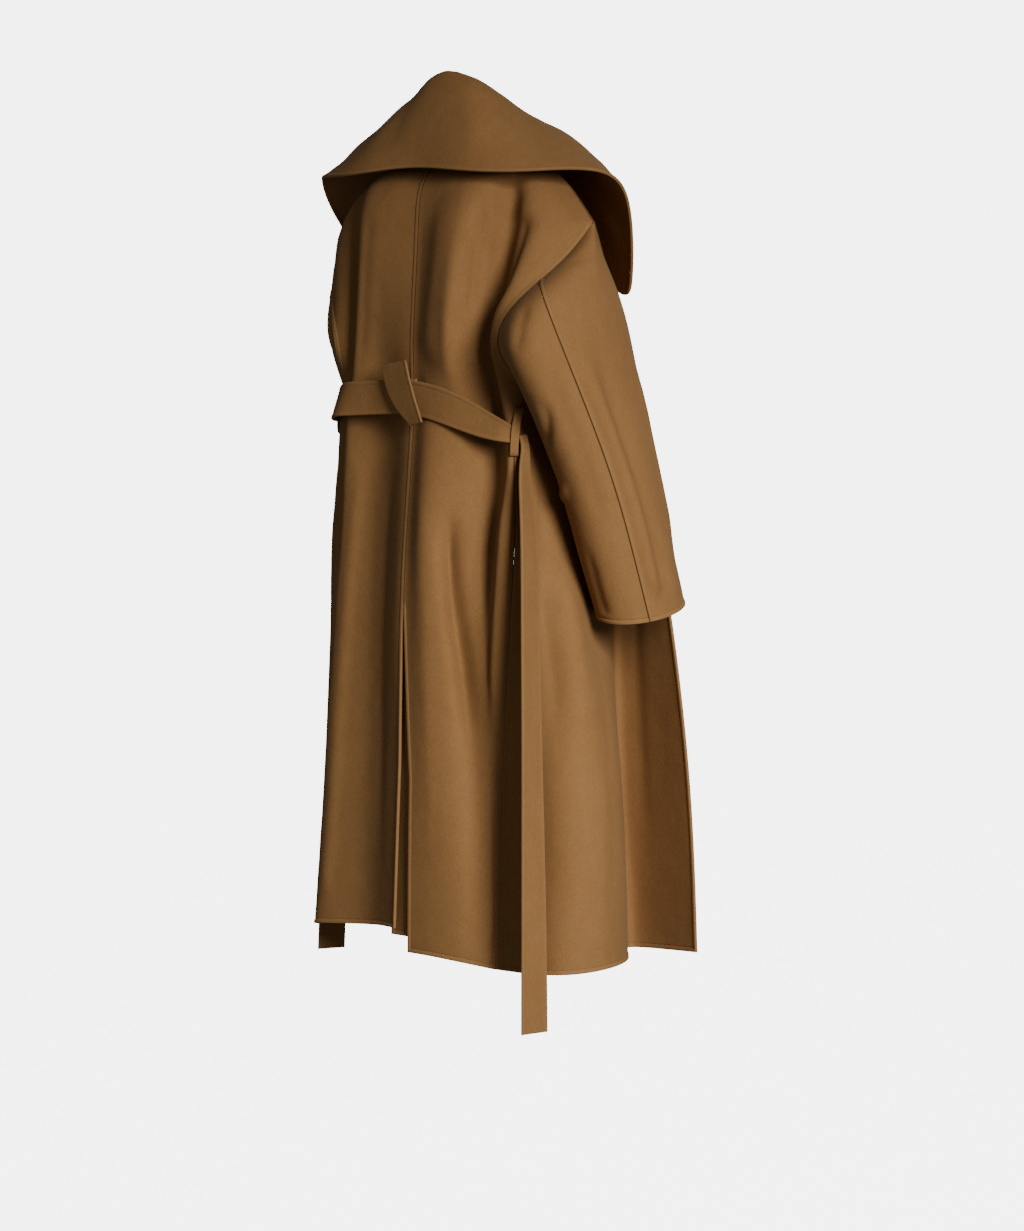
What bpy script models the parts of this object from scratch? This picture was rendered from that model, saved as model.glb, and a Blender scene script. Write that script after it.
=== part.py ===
# A long, worn wool wrap coat with a wide shawl collar and its own belt.
# Each cut piece of cloth is one wall, 0.3 mm clear of its neighbours along the seams. The coat keeps the
# hollow form of a standing wearer: neck, cuffs, front, vent and hem are open.
# Frame: +Z up, the wearer faces -Y, the wearer's left is +X, the origin is at the base of the neck.
import math

import bpy
import numpy as np

for leftover in list(bpy.data.objects):
    bpy.data.objects.remove(leftover, do_unlink=True)

# Sizes are in millimetres until a wall is made.
MM = 0.001
CLOTH = 3.0            # double-faced coating
BELT_CLOTH = 4.0       # the same cloth, turned in and felled
SEAM_GAP = 0.3         # between neighbouring pieces
SEAM_ROUNDS = 8

RIGHT, LEFT = -1, 1    # sign of X for the wearer's right and left

# ---------------------------------------------------------------- body tables
# A half of the coat is a net of posts, which run from the neck to the hem, and levels, which run round
# it. Each pair is (out from the centre plane, back from the neck).
LEVELS = ("neck", "yoke", "shoulder", "armhole", "underarm", "waist", "skirt", "hip", "knee", "hem")
BACK_POSTS = ("centre", "inner", "middle", "outer", "valley", "fold")
FRONT_POSTS = ("quarter", "flank", "crease", "hollow", "edge")
HEIGHT_POSTS = (0, 3, 4, 5)                      # the seam and the front posts with a height of their own
HEIGHT_POSTS = (0, 3, 4, 5)                      # the seam and the front posts with a height of their own
SHOULDER_POINT, UNDERARM, VENT_TOP = 2, 4, 7     # level numbers

RIGHT_BACK = {
    #            centre     inner      middle     outer       valley      fold
    "neck":     ((0, 75),   (20, 74),  (40, 69),  (55, 60),   (66, 48),   (76, 30)),
    "yoke":     ((0, 138),  (45, 142), (85, 140), (118, 130), (146, 104), (168, 72)),
    "shoulder": ((0, 148),  (46, 154), (86, 168), (112, 154), (148, 104), (204, 126)),
    "armhole":  ((0, 160),  (40, 168), (82, 188), (101, 180), (134, 112), (164, 178)),
    "underarm": ((0, 160),  (38, 169), (75, 173), (100, 163), (134, 102), (170, 162)),
    "waist":    ((0, 158),  (34, 170), (78, 165), (112, 144), (134, 106), (174, 148)),
    "skirt":    ((0, 171),  (36, 189), (72, 182), (108, 154), (134, 122), (174, 150)),
    "hip":      ((0, 184),  (34, 193), (78, 187), (100, 166), (132, 146), (160, 152)),
    "knee":     ((10, 192), (50, 193), (86, 188), (112, 173), (126, 148), (138, 134)),
    "hem":      ((14, 190), (54, 190), (94, 186), (126, 177), (146, 165), (154, 154)),
}
LEFT_BACK = {
    #            centre     inner      middle      outer       valley      fold
    "neck":     ((0, 75),   (20, 74),  (40, 69),   (55, 60),   (66, 48),   (76, 30)),
    "yoke":     ((0, 138),  (45, 142), (82, 140),  (112, 132), (142, 104), (166, 66)),
    "shoulder": ((0, 148),  (42, 152), (82, 155),  (118, 154), (140, 122), (206, 116)),
    "armhole":  ((0, 160),  (44, 156), (88, 150),  (130, 156), (144, 124), (172, 132)),
    "underarm": ((0, 160),  (46, 149), (90, 139),  (138, 152), (152, 124), (176, 120)),
    "waist":    ((0, 158),  (46, 142), (92, 128),  (150, 149), (166, 124), (192, 118)),
    "skirt":    ((0, 171),  (50, 149), (104, 131), (164, 142), (180, 120), (204, 112)),
    "hip":      ((0, 184),  (48, 163), (100, 143), (172, 150), (190, 128), (216, 108)),
    "knee":     ((2, 190),  (48, 170), (100, 149), (186, 155), (206, 130), (230, 98)),
    "hem":      ((12, 191), (58, 172), (112, 155), (206, 160), (224, 134), (242, 100)),
}
RIGHT_FRONT = {
    #            quarter    flank        crease       hollow       edge
    "neck":     ((91, -18),  (93, -50),  (90, -84),   (83, -118),  (75, -150)),
    "yoke":     ((156, -12), (138, -50), (120, -88),  (100, -125), (80, -160)),
    "shoulder": ((215, -20), (178, -68), (148, -105), (118, -138), (88, -168)),
    "armhole":  ((184, -84), (164, -110), (144, -134), (124, -156), (100, -178)),
    "underarm": ((195, 60),  (192, -6),  (172, -85),  (144, -144), (115, -200)),
    "waist":    ((190, 110), (196, 34),  (178, -76),  (132, -164), (150, -215)),
    "skirt":    ((204, 122), (214, 70),  (198, -68),  (124, -178), (204, -184)),
    "hip":      ((221, 138), (244, 98),  (215, -56),  (118, -188), (258, -158)),
    "knee":     ((240, 142), (306, 120), (294, -4),   (116, -190), (300, -156)),
    "hem":      ((252, 164), (314, 132), (302, -4),   (150, -176), (326, -139)),
}
LEFT_FRONT = {
    #            quarter    flank        crease       hollow       edge
    "neck":     ((91, -18),  (93, -50),  (90, -84),   (83, -118),  (75, -150)),
    "yoke":     ((156, -12), (138, -50), (120, -88),  (100, -125), (80, -160)),
    "shoulder": ((212, -26), (178, -70), (148, -106), (118, -138), (88, -168)),
    "armhole":  ((180, -102), (160, -122), (142, -140), (123, -158), (100, -178)),
    "underarm": ((191, 26),  (182, -34), (164, -94),  (142, -145), (112, -195)),
    "waist":    ((196, 48),  (190, -12), (172, -85),  (138, -150), (132, -212)),
    "skirt":    ((214, 44),  (210, -18), (192, -96),  (140, -164), (160, -222)),
    "hip":      ((232, 38),  (232, -26), (214, -108), (146, -182), (196, -226)),
    "knee":     ((250, 18),  (256, -46), (238, -124), (160, -204), (226, -246)),
    "hem":      ((262, 12),  (275, -54), (254, -130), (176, -212), (252, -262)),
}
SIDE_SEAM = {
    #            right      left
    "neck":     ((85, 8),    (85, 8)),
    "yoke":     ((178, 25),  (176, 22)),
    "shoulder": ((268, 50),  (262, 38)),
    "underarm": ((202, 122), (196, 84)),
    "waist":    ((190, 147), (202, 94)),
    "skirt":    ((192, 144), (220, 88)),
    "hip":      ((188, 150), (232, 82)),
    "knee":     ((152, 130), (245, 62)),
    "hem":      ((160, 146), (255, 60)),
}
HEIGHTS = {
    #            right: centre, side, crease, hollow, edge    left: the same
    "neck":     ((5, 5, -64, -95, -130),             (5, 5, -64, -95, -130)),
    "yoke":     ((-50, -35, -102, -132, -165),       (-50, -35, -102, -132, -165)),
    "shoulder": ((-130, -120, -164, -183, -205),     (-130, -120, -164, -183, -205)),
    "armhole":  ((-283, -270, -267, -266, -265),     (-283, -270, -267, -266, -265)),
    "underarm": ((-350, -365, -357, -354, -350),     (-350, -365, -357, -354, -350)),
    "waist":    ((-400, -445, -437, -434, -430),     (-400, -400, -410, -415, -420)),
    "skirt":    ((-550, -575, -567, -565, -560),     (-550, -540, -545, -548, -550)),
    "hip":      ((-700, -710, -710, -712, -710),     (-700, -690, -695, -698, -700)),
    "knee":     ((-980, -990, -986, -992, -988),     (-960, -958, -967, -972, -975)),
    "hem":      ((-1245, -1263, -1252, -1264, -1253), (-1210, -1234, -1256, -1256, -1250)),
}
# The armhole seams from the shoulder point to the underarm: (out, back, height).
ARMHOLES = {
    "right back":  ((268, 50, -120), (250, 84, -168), (232, 126, -208), (214, 162, -242), (202, 186, -276),
                    (196, 188, -312), (196, 160, -344), (202, 122, -365)),
    "right front": ((268, 50, -120), (256, 12, -170), (234, -32, -225), (212, -54, -278), (204, -26, -312),
                    (201, 36, -342), (202, 122, -365)),
    "left back":   ((262, 38, -120), (246, 72, -168), (224, 104, -218), (202, 126, -262), (192, 132, -300),
                    (192, 114, -340), (196, 84, -365)),
    "left front":  ((262, 38, -120), (250, -4, -170), (228, -54, -225), (208, -80, -278), (200, -56, -312),
                    (196, 2, -342), (196, 84, -365)),
}
LEVEL_STEPS = (2, 2, 5, 5, 3, 3, 3, 4, 4)      # rows of faces between one level and the next
BACK_STEPS = (2, 2, 3, 3, 3, 2)                # columns of faces between one post and the next
FRONT_STEPS = (2, 2, 2, 2, 2)
ARM_STEPS = LEVEL_STEPS[SHOULDER_POINT] + LEVEL_STEPS[SHOULDER_POINT + 1]

# -------------------------------------------------------------- sleeve tables
# Rings of a sleeve: centre (out, back, height), half widths (out, back), and how much higher the outer
# side and the front are than the centre. In degrees, the slip moves the underarm seam to the back, and
# the turn swings the back of the sleeve outwards.
SLEEVE_COLUMNS = ("out", "back", "height", "half_out", "half_back", "rise_out", "rise_front",
                  "slip", "turn")
RIGHT_SLEEVE = {
    "bicep":   (262, 98, -305, 50, 140, 75, 0, 0, 6),
    "elbow":   (276, 40, -470, 64, 108, 20, 10, 0, 15),
    "forearm": (288, 4, -600, 66, 98, 6, 15, 0, 19),
    "cuff":    (298, -31, -714, 64, 90, 0, 19, 0, 19),
}
LEFT_SLEEVE = {
    "bicep":   (257, -52, -305, 44, 120, 75, 0, 34, 0),
    "elbow":   (258, -128, -455, 56, 104, 20, 12, 20, 4),
    "forearm": (260, -186, -570, 57, 96, 6, 18, 10, 6),
    "cuff":    (255, -236, -675, 56, 90, 0, 24, 0, 6),
}
SLEEVE_STEPS = (4, 4, 3, 3)                    # armhole to bicep, elbow, forearm, cuff
RING = 2 * ARM_STEPS                           # faces round a sleeve
BACK_SEAM = 3                                  # ring column of the seam down the back of the sleeve

# -------------------------------------------------------------- collar table
# Stations from the nape to a front end; each is the roll, the middle and the edge of the fall.
RIGHT_COLLAR = {
    "nape":           ((0, 98, 134),    (0, 136, 62),      (0, 165, -27)),
    "back quarter":   ((50, 88, 124),   (90, 132, 55),     (110, 176, -40)),
    "shoulder back":  ((90, 52, 90),    (148, 88, 34),     (205, 142, -45)),
    "shoulder":       ((98, 15, 66),    (182, 28, 20),     (284, 45, -40)),
    "front shoulder": ((92, -35, 50),   (186, -38, -2),    (280, -25, -90)),
    "lobe":           ((80, -90, 0),    (160, -95, -62),   (232, -95, -190)),
    "tip":            ((74, -128, -60), (130, -140, -120), (203, -120, -222)),
    "end":            ((74, -150, -105), (106, -160, -150), (152, -150, -205)),
}
LEFT_COLLAR = {
    "nape":           ((0, 98, 134),    (0, 136, 62),      (0, 165, -27)),
    "back quarter":   ((55, 88, 96),    (92, 132, 40),     (110, 176, -33)),
    "shoulder back":  ((90, 52, 86),    (150, 88, 34),     (205, 136, -30)),
    "shoulder":       ((98, 15, 70),    (190, 28, 22),     (300, 45, -22)),
    "front shoulder": ((92, -35, 48),   (200, -38, -2),    (316, 0, -75)),
    "lobe":           ((80, -90, 0),    (175, -95, -62),   (280, -84, -185)),
    "tip":            ((74, -128, -60), (136, -142, -120), (215, -130, -222)),
    "end":            ((74, -150, -105), (106, -160, -150), (152, -150, -205)),
}
COLLAR_STEPS = (2, 2, 2, 2)                    # neckline, stand, roll, middle, edge

# -------------------------------------------------------- vent and belt tables
# The underlap behind the vent: how far in front of the seam line it hangs, at three places across.
UNDERLAP = {
    #            left edge         middle            right edge        height
    "top":      ((26, 167.5),      (-10, 177.0),     (-44, 181.0),     -676),
    "hip":      ((26, 170.5),      (-10, 179.5),     (-46, 185.0),     -760),
    "knee":     ((27, 175.7),      (-10, 183.0),     (-48, 187.0),     -980),
    "hem":      ((30, 177.5),      (-8, 182.5),      (-44, 185.0),     -1222),
}
# Straps of the belt. Each row is a place on its middle line (x, y, height), the way its face looks in
# plan (degrees from the wearer's left round to the back), how far the face looks up (degrees) and its
# width there.
STRAP_COLUMNS = ("x", "y", "height", "facing", "lean", "width")
LEFT_RUN = (
    (-14, 169.5, -384, 92, 0, 54),
    (30, 169.0, -384, 90, 0, 54),
    (90, 167.5, -385, 88, 0, 54),
    (132, 168.0, -386, 80, 5, 54),
    (158, 160.0, -388, 48, 16, 54),
    (179, 142.0, -392, 32, 14, 54),
    (198, 119.0, -397, 28, 12, 48),
    (207, 97.5, -403, 18, 13, 38),
    (209.5, 85.5, -405, 12, 10, 38),
)
RIGHT_RUN = (
    (6, 173.8, -384, 88, 0, 54),
    (-36, 175.0, -391, 92, 0, 54),
    (-72, 176.0, -400, 96, 0, 53),
    (-108, 171.0, -413, 102, 4, 50),
    (-146, 165.0, -429, 106, 10, 42),
    (-177, 162.2, -439, 116, 8, 34),
    (-193, 153.0, -445, 132, 5, 26),
    (-197.5, 146.5, -447, 142, 0, 28),
)
RIGHT_TAIL = (
    (-202.25, 140.4, -445, 142, 0, 14),
    (-207.5, 139.5, -466, 168, 0, 16),
    (-211, 146, -494, 190, 0, 30),
    (-218, 152, -534, 193, 0, 44),
    (-238, 167, -620, 191, 0, 54),
    (-246, 175, -740, 189, 0, 54),
    (-253, 181, -880, 187, 0, 54),
    (-259, 186, -1010, 183, 0, 54),
    (-266, 192, -1150, 178, 0, 54),
    (-271, 197, -1270, 175, 0, 54),
    (-273, 199, -1341, 174, 0, 54),
)
LEFT_TAIL = (
    (211.6, 76.2, -404, 12, 0, 18),
    (219, 69, -436, 2, 0, 30),
    (235, 56, -520, -6, 0, 50),
    (248, 46, -660, -8, 0, 54),
    (261, 42, -860, -9, 0, 54),
    (269.5, 46, -1080, -10, 0, 54),
    (273, 53, -1281, -10, 0, 54),
)
# The wrap over the join of the runs: its middle line, folded over behind the runs at the top.
WRAP = (
    (12, 175.0, -351.5),
    (18, 176.0, -341.0),
    (19, 181.0, -333.0),
    (16, 186.3, -341.0),
    (3, 187.0, -376.0),
    (-9, 187.0, -404.0),
    (-15.5, 187.0, -419.0),
    (-17.5, 185.6, -427.5),
)
WRAP_ACROSS = (-0.977, -0.170, 0.130)
WRAP_WIDTH = 62.0
STRAP_STEPS = 2                                # faces between one row and the next, and across
LOOPS = {"right": (-441, 134), "left": (-404, 18)}      # height on the side seam, and facing in plan
LOOP_CLOTH = 3.0
LOOP_WIDTH = 13.0
LOOP_HALF_HEIGHT = 37.0
LOOP_STAND = 12.5                              # from the middle of the coat's cloth to the loop's
LOOP_FACES = 12


# ------------------------------------------------------------------- splines
def bspline(points, at, mirror_start=False):
    """Smooth curve close by its points and exact at its ends, read at point numbers."""
    given = np.asarray(points, float)
    eased = given.copy()
    eased[1:-1] -= (given[:-2] - 2 * given[1:-1] + given[2:]) / 6
    before = 2 * eased[0] - eased[1]
    if mirror_start:
        before = eased[1] * np.array([-1, 1, 1])
        eased[0] = 1.5 * given[0] - 0.25 * (before + eased[1])
    eased = np.vstack([before, eased, 2 * eased[-1] - eased[-2]])
    at = np.atleast_1d(np.asarray(at, float))
    number = np.clip(np.floor(at).astype(int), 0, len(given) - 2)
    part = (at - number)[:, None]
    return ((1 - part) ** 3 * eased[number]
            + (3 * part ** 3 - 6 * part ** 2 + 4) * eased[number + 1]
            + (-3 * part ** 3 + 3 * part ** 2 + 3 * part + 1) * eased[number + 2]
            + part ** 3 * eased[number + 3]) / 6


def steps(counts):
    """Places along a curve: so many equal steps between each point and the next."""
    places = [i + k / n for i, n in enumerate(counts) for k in range(n)]
    return np.array(places + [len(counts)])


def smooth(value):
    value = np.clip(value, 0, 1)
    return value * value * (3 - 2 * value)


# --------------------------------------------------------------- body panels
class Net:
    """A sheet of points with the direction that faces outwards at each of them."""

    def __init__(self, points, flip=False, ring=False):
        self.points = np.asarray(points, float)
        around = self.points
        if ring:
            around = np.concatenate([around[:, -2:-1], around, around[:, 1:2]], axis=1)
        facing = np.cross(np.gradient(around, axis=0), np.gradient(around, axis=1))
        if ring:
            facing = facing[:, 1:-1]
        facing *= -1 if flip else 1
        self.facing = facing / np.linalg.norm(facing, axis=2, keepdims=True)

    def piece(self, columns):
        """A piece cut from this net, with the same facing."""
        cut = Net(self.points[:, columns])
        cut.facing = self.facing[:, columns].copy()
        return cut

    def inside(self, rows, columns, step):
        """Points one step in from an edge."""
        if step[0]:
            return self.points[1 if step[0] > 0 else -2, columns]
        return self.points[rows, 1 if step[1] > 0 else -2]


def post_places(back, front, side):
    """Points of every post at every level: (level, post, out/back/height)."""
    column = 0 if side == RIGHT else 1
    net = []
    for level in LEVELS:
        centre_height, *front_heights = HEIGHTS[level][column]
        side_height = front_heights[0]
        seam = SIDE_SEAM.get(level, SIDE_SEAM["underarm"])[column]
        row = []
        for i, (out, rear) in enumerate(back[level]):
            share = smooth(i / len(BACK_POSTS))
            row.append((out, rear, centre_height + (side_height - centre_height) * share))
        row.append((*seam, side_height))
        for i, (out, rear) in enumerate(front[level], start=1):
            row.append((out, rear, np.interp(i, HEIGHT_POSTS, front_heights)))
        net.append(row)
    return np.array(net, float)


def body_half(back, front, side, word):
    """Nets of one half's back and front, with seam, armhole and vent edges in common."""
    net = post_places(back, front, side)
    rows = steps(LEVEL_STEPS)
    seam_post = len(BACK_POSTS)
    posts = np.stack([bspline(net[:, i], rows) for i in range(net.shape[1])], axis=1)

    upper = rows <= SHOULDER_POINT
    lower = rows >= UNDERARM
    arm = ~upper & ~lower
    seam = np.zeros((len(rows), 3))
    seam[upper] = bspline(net[:SHOULDER_POINT + 1, seam_post], rows[upper])
    seam[lower] = bspline(net[UNDERARM:, seam_post], rows[lower] - UNDERARM)
    posts[:, seam_post] = seam

    vent = rows > VENT_TOP
    posts[~vent, 0, 0] = 0
    opening = net[VENT_TOP:, 0, 0]
    posts[vent, 0, 0] = np.interp(rows[vent] - VENT_TOP, range(len(opening)), opening)

    def armhole(name):
        curve = ARMHOLES[f"{word} {name}"]
        share = (rows[arm] - SHOULDER_POINT) / (UNDERARM - SHOULDER_POINT)
        return bspline(curve, share * (len(curve) - 1))

    back_at = steps(BACK_STEPS)
    front_at = steps(FRONT_STEPS)
    back_rows, front_rows = [], []
    for i, level in enumerate(rows):
        back_posts = posts[i, :seam_post + 1].copy()
        front_posts = posts[i, seam_post:].copy()
        if arm[i]:
            back_posts[-1] = armhole("back")[np.sum(arm[:i])]
            front_posts[0] = armhole("front")[np.sum(arm[:i])]
        joined = smooth(level - UNDERARM)
        split = smooth(level - VENT_TOP)
        apart = bspline(back_posts, back_at)
        even = bspline(back_posts, back_at, mirror_start=True)
        back_row = even + (apart - even) * split
        front_row = bspline(front_posts, front_at)
        if joined > 0:
            ring_at = np.concatenate([back_at, seam_post + front_at[1:]])
            ring_apart = bspline(posts[i], ring_at)
            ring_even = bspline(posts[i], ring_at, mirror_start=True)
            ring = ring_even + (ring_apart - ring_even) * split
            back_row = back_row + (ring[:len(back_at)] - back_row) * joined
            front_row = front_row + (ring[len(back_at) - 1:] - front_row) * joined
        back_rows.append(back_row)
        front_rows.append(front_row)
    to_side = np.array([side, 1, 1])
    return (Net(np.array(back_rows) * to_side, flip=side == LEFT),
            Net(np.array(front_rows) * to_side, flip=side == LEFT))


# ------------------------------------------------------------------- sleeves
def sleeve_ring(ring, side):
    size = dict(zip(SLEEVE_COLUMNS, ring))
    angle = np.linspace(0, 2 * math.pi, RING + 1)
    angle -= math.radians(size["slip"]) * (1 - np.cos(angle)) / 2
    outward, backward = size["half_out"] * np.cos(angle), size["half_back"] * np.sin(angle)
    turn = math.radians(size["turn"])
    return np.stack([
        (size["out"] + outward * math.cos(turn) + backward * math.sin(turn)) * side,
        size["back"] + backward * math.cos(turn) - outward * math.sin(turn),
        size["height"] + size["rise_out"] * np.cos(angle) - size["rise_front"] * np.sin(angle)], axis=1)


def sleeve(table, back, front, side):
    """One net round the whole sleeve, from the armhole to the cuff."""
    first = sum(LEVEL_STEPS[:SHOULDER_POINT])
    last = first + ARM_STEPS
    armhole = np.vstack([back.points[first:last + 1, -1], front.points[first:last, 0][::-1]])
    rings = np.array([armhole] + [sleeve_ring(ring, side) for ring in table.values()])
    along = steps(SLEEVE_STEPS)
    return np.stack([bspline(rings[:, i], along) for i in range(RING + 1)], axis=1)


# -------------------------------------------------------------------- collar
def collar_net(neckline, stations_at):
    """Neckline points from the left front end round the nape to the right, and the collar over them."""
    left = np.array(list(LEFT_COLLAR.values()), float) * np.array([LEFT, 1, 1])
    right = np.array(list(RIGHT_COLLAR.values()), float) * np.array([RIGHT, 1, 1])
    stations = np.concatenate([left[::-1], right[1:]])
    rows = []
    for at, foot in zip(stations_at, neckline):
        roll, middle, edge = [bspline(stations[:, i], at + len(left) - 1)[0] for i in range(3)]
        stand = (foot + roll) / 2 + (foot - roll) * np.array([0.04, 0.04, 0])
        rows.append(bspline([foot, stand, roll, middle, edge], steps(COLLAR_STEPS)))
    return np.array(rows)


# ------------------------------------------------------- underlap, belt, loops
def underlap_net():
    rows = []
    for left, middle, right, height in UNDERLAP.values():
        rows.append([(*left, height), (*middle, height), (*right, height)])
    rows = np.array(rows, float)
    across = np.stack([bspline(row, steps((3, 3))) for row in rows])
    down = steps((2, 4, 4))
    return np.stack([bspline(across[:, i], down) for i in range(across.shape[1])], axis=1)


def strap_net(table):
    """A strap along its middle line, with its face turned and leant as the table says."""
    rows = np.array(table, float)
    at = steps((STRAP_STEPS,) * (len(rows) - 1))
    line = bspline(rows[:, :3], at)
    other = dict(zip(STRAP_COLUMNS[3:], bspline(rows[:, 3:], at).T))
    turn, lean = np.radians(other["facing"]), np.radians(other["lean"])
    flat = np.stack([np.cos(turn), np.sin(turn), np.zeros_like(turn)], axis=1)
    run = np.gradient(line, axis=0)
    run /= np.linalg.norm(run, axis=1, keepdims=True)
    across = np.cross(run, flat)
    across /= np.linalg.norm(across, axis=1, keepdims=True)
    if np.sum(across[:, 2]) < 0:
        across, run = -across, -run
    facing = np.cross(across, run)
    facing = facing * np.cos(lean)[:, None] + across * np.sin(lean)[:, None]
    across = np.cross(run, facing)
    half = other["width"][:, None] / 2
    shares = np.linspace(-1, 1, STRAP_STEPS + 1)
    strap = Net(np.stack([line + across * half * share for share in shares], axis=1))
    strap.facing = np.repeat(facing[:, None], STRAP_STEPS + 1, axis=1)
    return strap


def wrap_net():
    """The wrap: straight across its width, and bent along its middle line."""
    line = bspline(WRAP, steps((STRAP_STEPS,) * (len(WRAP) - 1)))
    across = np.array(WRAP_ACROSS)
    spread = np.linspace(-1, 1, STRAP_STEPS + 1)[:, None] * across * WRAP_WIDTH / 2
    return Net(line[:, None] + spread[None])


def loop_net(seam_line, height, turn):
    """A belt loop: a narrow band that stands off the side seam and comes back to it."""
    angle = np.linspace(-math.pi / 2, math.pi / 2, LOOP_FACES + 1)
    heights = height + (LOOP_HALF_HEIGHT - LOOP_CLOTH / 2) * np.sin(angle)

    def along_seam(values, at):
        return np.interp(at, seam_line[::-1, 2], values[::-1])

    out = np.array([math.cos(math.radians(turn)), math.sin(math.radians(turn)), 0])
    side = np.array([-out[1], out[0], 0])
    foot = CLOTH / 2 + LOOP_CLOTH / 2 + SEAM_GAP
    stand = foot + (LOOP_STAND - foot) * np.cos(angle) ** 0.5
    out_there, back_there = along_seam(seam_line[:, 0], heights), along_seam(seam_line[:, 1], heights)
    middle = np.stack([out_there, back_there, heights], axis=1) + stand[:, None] * out
    points = np.stack([middle - side * LOOP_WIDTH / 2, middle + side * LOOP_WIDTH / 2], axis=1)
    facing = np.cross(side, np.gradient(middle, axis=0))
    facing /= np.linalg.norm(facing, axis=1, keepdims=True)
    loop = Net(points)
    loop.facing = np.repeat(facing[:, None] * np.sign(np.dot(facing[LOOP_FACES // 2], out)), 2, axis=1)
    return loop


# --------------------------------------------------------------- seams, walls
def join(seams):
    """Close the seams: one facing along each, and half the gap between its line and either edge.

    A seam is two edges, each (net, rows, columns, the way into the piece as a step in rows and columns).
    Pieces that meet three at a corner settle to one facing there."""
    for _ in range(SEAM_ROUNDS):
        for edges in seams:
            facing = sum(net.facing[rows, columns] for net, rows, columns, step in edges)
            facing /= np.linalg.norm(facing, axis=-1, keepdims=True)
            for net, rows, columns, step in edges:
                net.facing[rows, columns] = facing
    moves = []
    for edges in seams:
        for net, rows, columns, step in edges:
            line = net.points[rows, columns]
            away = np.cross(np.gradient(line, axis=0), net.facing[rows, columns])
            away /= np.linalg.norm(away, axis=-1, keepdims=True)
            way = np.sign(np.sum(away * (net.inside(rows, columns, step) - line)))
            moves.append((net, rows, columns, away * way * SEAM_GAP / 2))
    for net, rows, columns, move in moves:
        net.points[rows, columns] += move


def wall(name, net, material, thickness=CLOTH):
    """A closed solid: the net moved out and in by half the thickness, with its rim filled.

    Both faces of a cell are cut along the same diagonal, its shorter one, so the cloth keeps its
    thickness where a cell is twisted."""
    half = net.facing * thickness / 2
    outer = (net.points + half).reshape(-1, 3)
    inner = (net.points - half).reshape(-1, 3)
    middle = net.points.reshape(-1, 3)
    offset = len(middle)
    number = np.arange(offset).reshape(net.points.shape[:2])
    corners = [number[:-1, :-1], number[1:, :-1], number[1:, 1:], number[:-1, 1:]]
    rim = np.concatenate([number[:, 0], number[-1, 1:], number[::-1, -1][1:], number[0, ::-1][1:]]).tolist()
    turned = np.cross(np.gradient(net.points, axis=0), np.gradient(net.points, axis=1))
    if np.sum(turned * net.facing) < 0:
        corners, rim = corners[::-1], rim[::-1]
    faces = []
    for a, b, c, d in np.stack(corners, axis=-1).reshape(-1, 4).tolist():
        if np.linalg.norm(middle[a] - middle[c]) > np.linalg.norm(middle[b] - middle[d]):
            a, b, c, d = b, c, d, a
        for p, q, r in ((a, b, c), (a, c, d)):
            faces += [(p, q, r), (r + offset, q + offset, p + offset)]
    for p, q in zip(rim[:-1], rim[1:]):
        if middle[p, 2] > middle[q, 2]:
            faces += [(p, p + offset, q + offset), (p, q + offset, q)]
        else:
            faces += [(p, p + offset, q), (q, p + offset, q + offset)]
    mesh = bpy.data.meshes.new(name)
    mesh.from_pydata((np.vstack([outer, inner]) * MM).tolist(), [], faces)
    mesh.materials.append(material)
    mesh.shade_smooth()
    mesh.set_sharp_from_angle(angle=math.radians(50))
    piece = bpy.data.objects.new(name, mesh)
    coat.objects.link(piece)
    return piece


def wool(name, colour):
    material = bpy.data.materials.new(name)
    material.use_nodes = True
    shader = material.node_tree.nodes["Principled BSDF"]
    shader.inputs["Base Color"].default_value = (*colour, 1)
    shader.inputs["Roughness"].default_value = 0.9
    shader.inputs["Metallic"].default_value = 0.0
    return material


# --------------------------------------------------------------------- model
coat = bpy.data.collections.new("wool_wrap_coat")
bpy.context.scene.collection.children.link(coat)
coating = wool("camel_coating", (0.235, 0.135, 0.052))
belting = wool("camel_belt", (0.225, 0.128, 0.048))

back_right, front_right = body_half(RIGHT_BACK, RIGHT_FRONT, RIGHT, "right")
back_left, front_left = body_half(LEFT_BACK, LEFT_FRONT, LEFT, "left")

arm_start = sum(LEVEL_STEPS[:SHOULDER_POINT])
arm_end = arm_start + ARM_STEPS
to_shoulder = slice(0, arm_start + 1)
to_hem = slice(arm_end, None)
to_vent = slice(0, sum(LEVEL_STEPS[:VENT_TOP]) + 1)
everything = slice(None)
INTO_ROWS, INTO_COLUMNS, BACK_COLUMNS = (1, 0), (0, 1), (0, -1)

# The two backs share their centre seam down to the top of the vent.
centre = (back_right.points[to_vent, 0] + back_left.points[to_vent, 0]) / 2
back_right.points[to_vent, 0] = centre
back_left.points[to_vent, 0] = centre

# Collar, over the whole neckline.
half_at = np.concatenate([steps(BACK_STEPS) * 3 / len(BACK_POSTS),
                          3 + steps(FRONT_STEPS)[1:] * 4 / len(FRONT_POSTS)])
half_right = np.vstack([back_right.points[0], front_right.points[0][1:]])
half_left = np.vstack([back_left.points[0], front_left.points[0][1:]])
neckline = np.vstack([half_left[::-1], half_right[1:]])
collar = Net(collar_net(neckline, np.concatenate([-half_at[::-1], half_at[1:]])))

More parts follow.
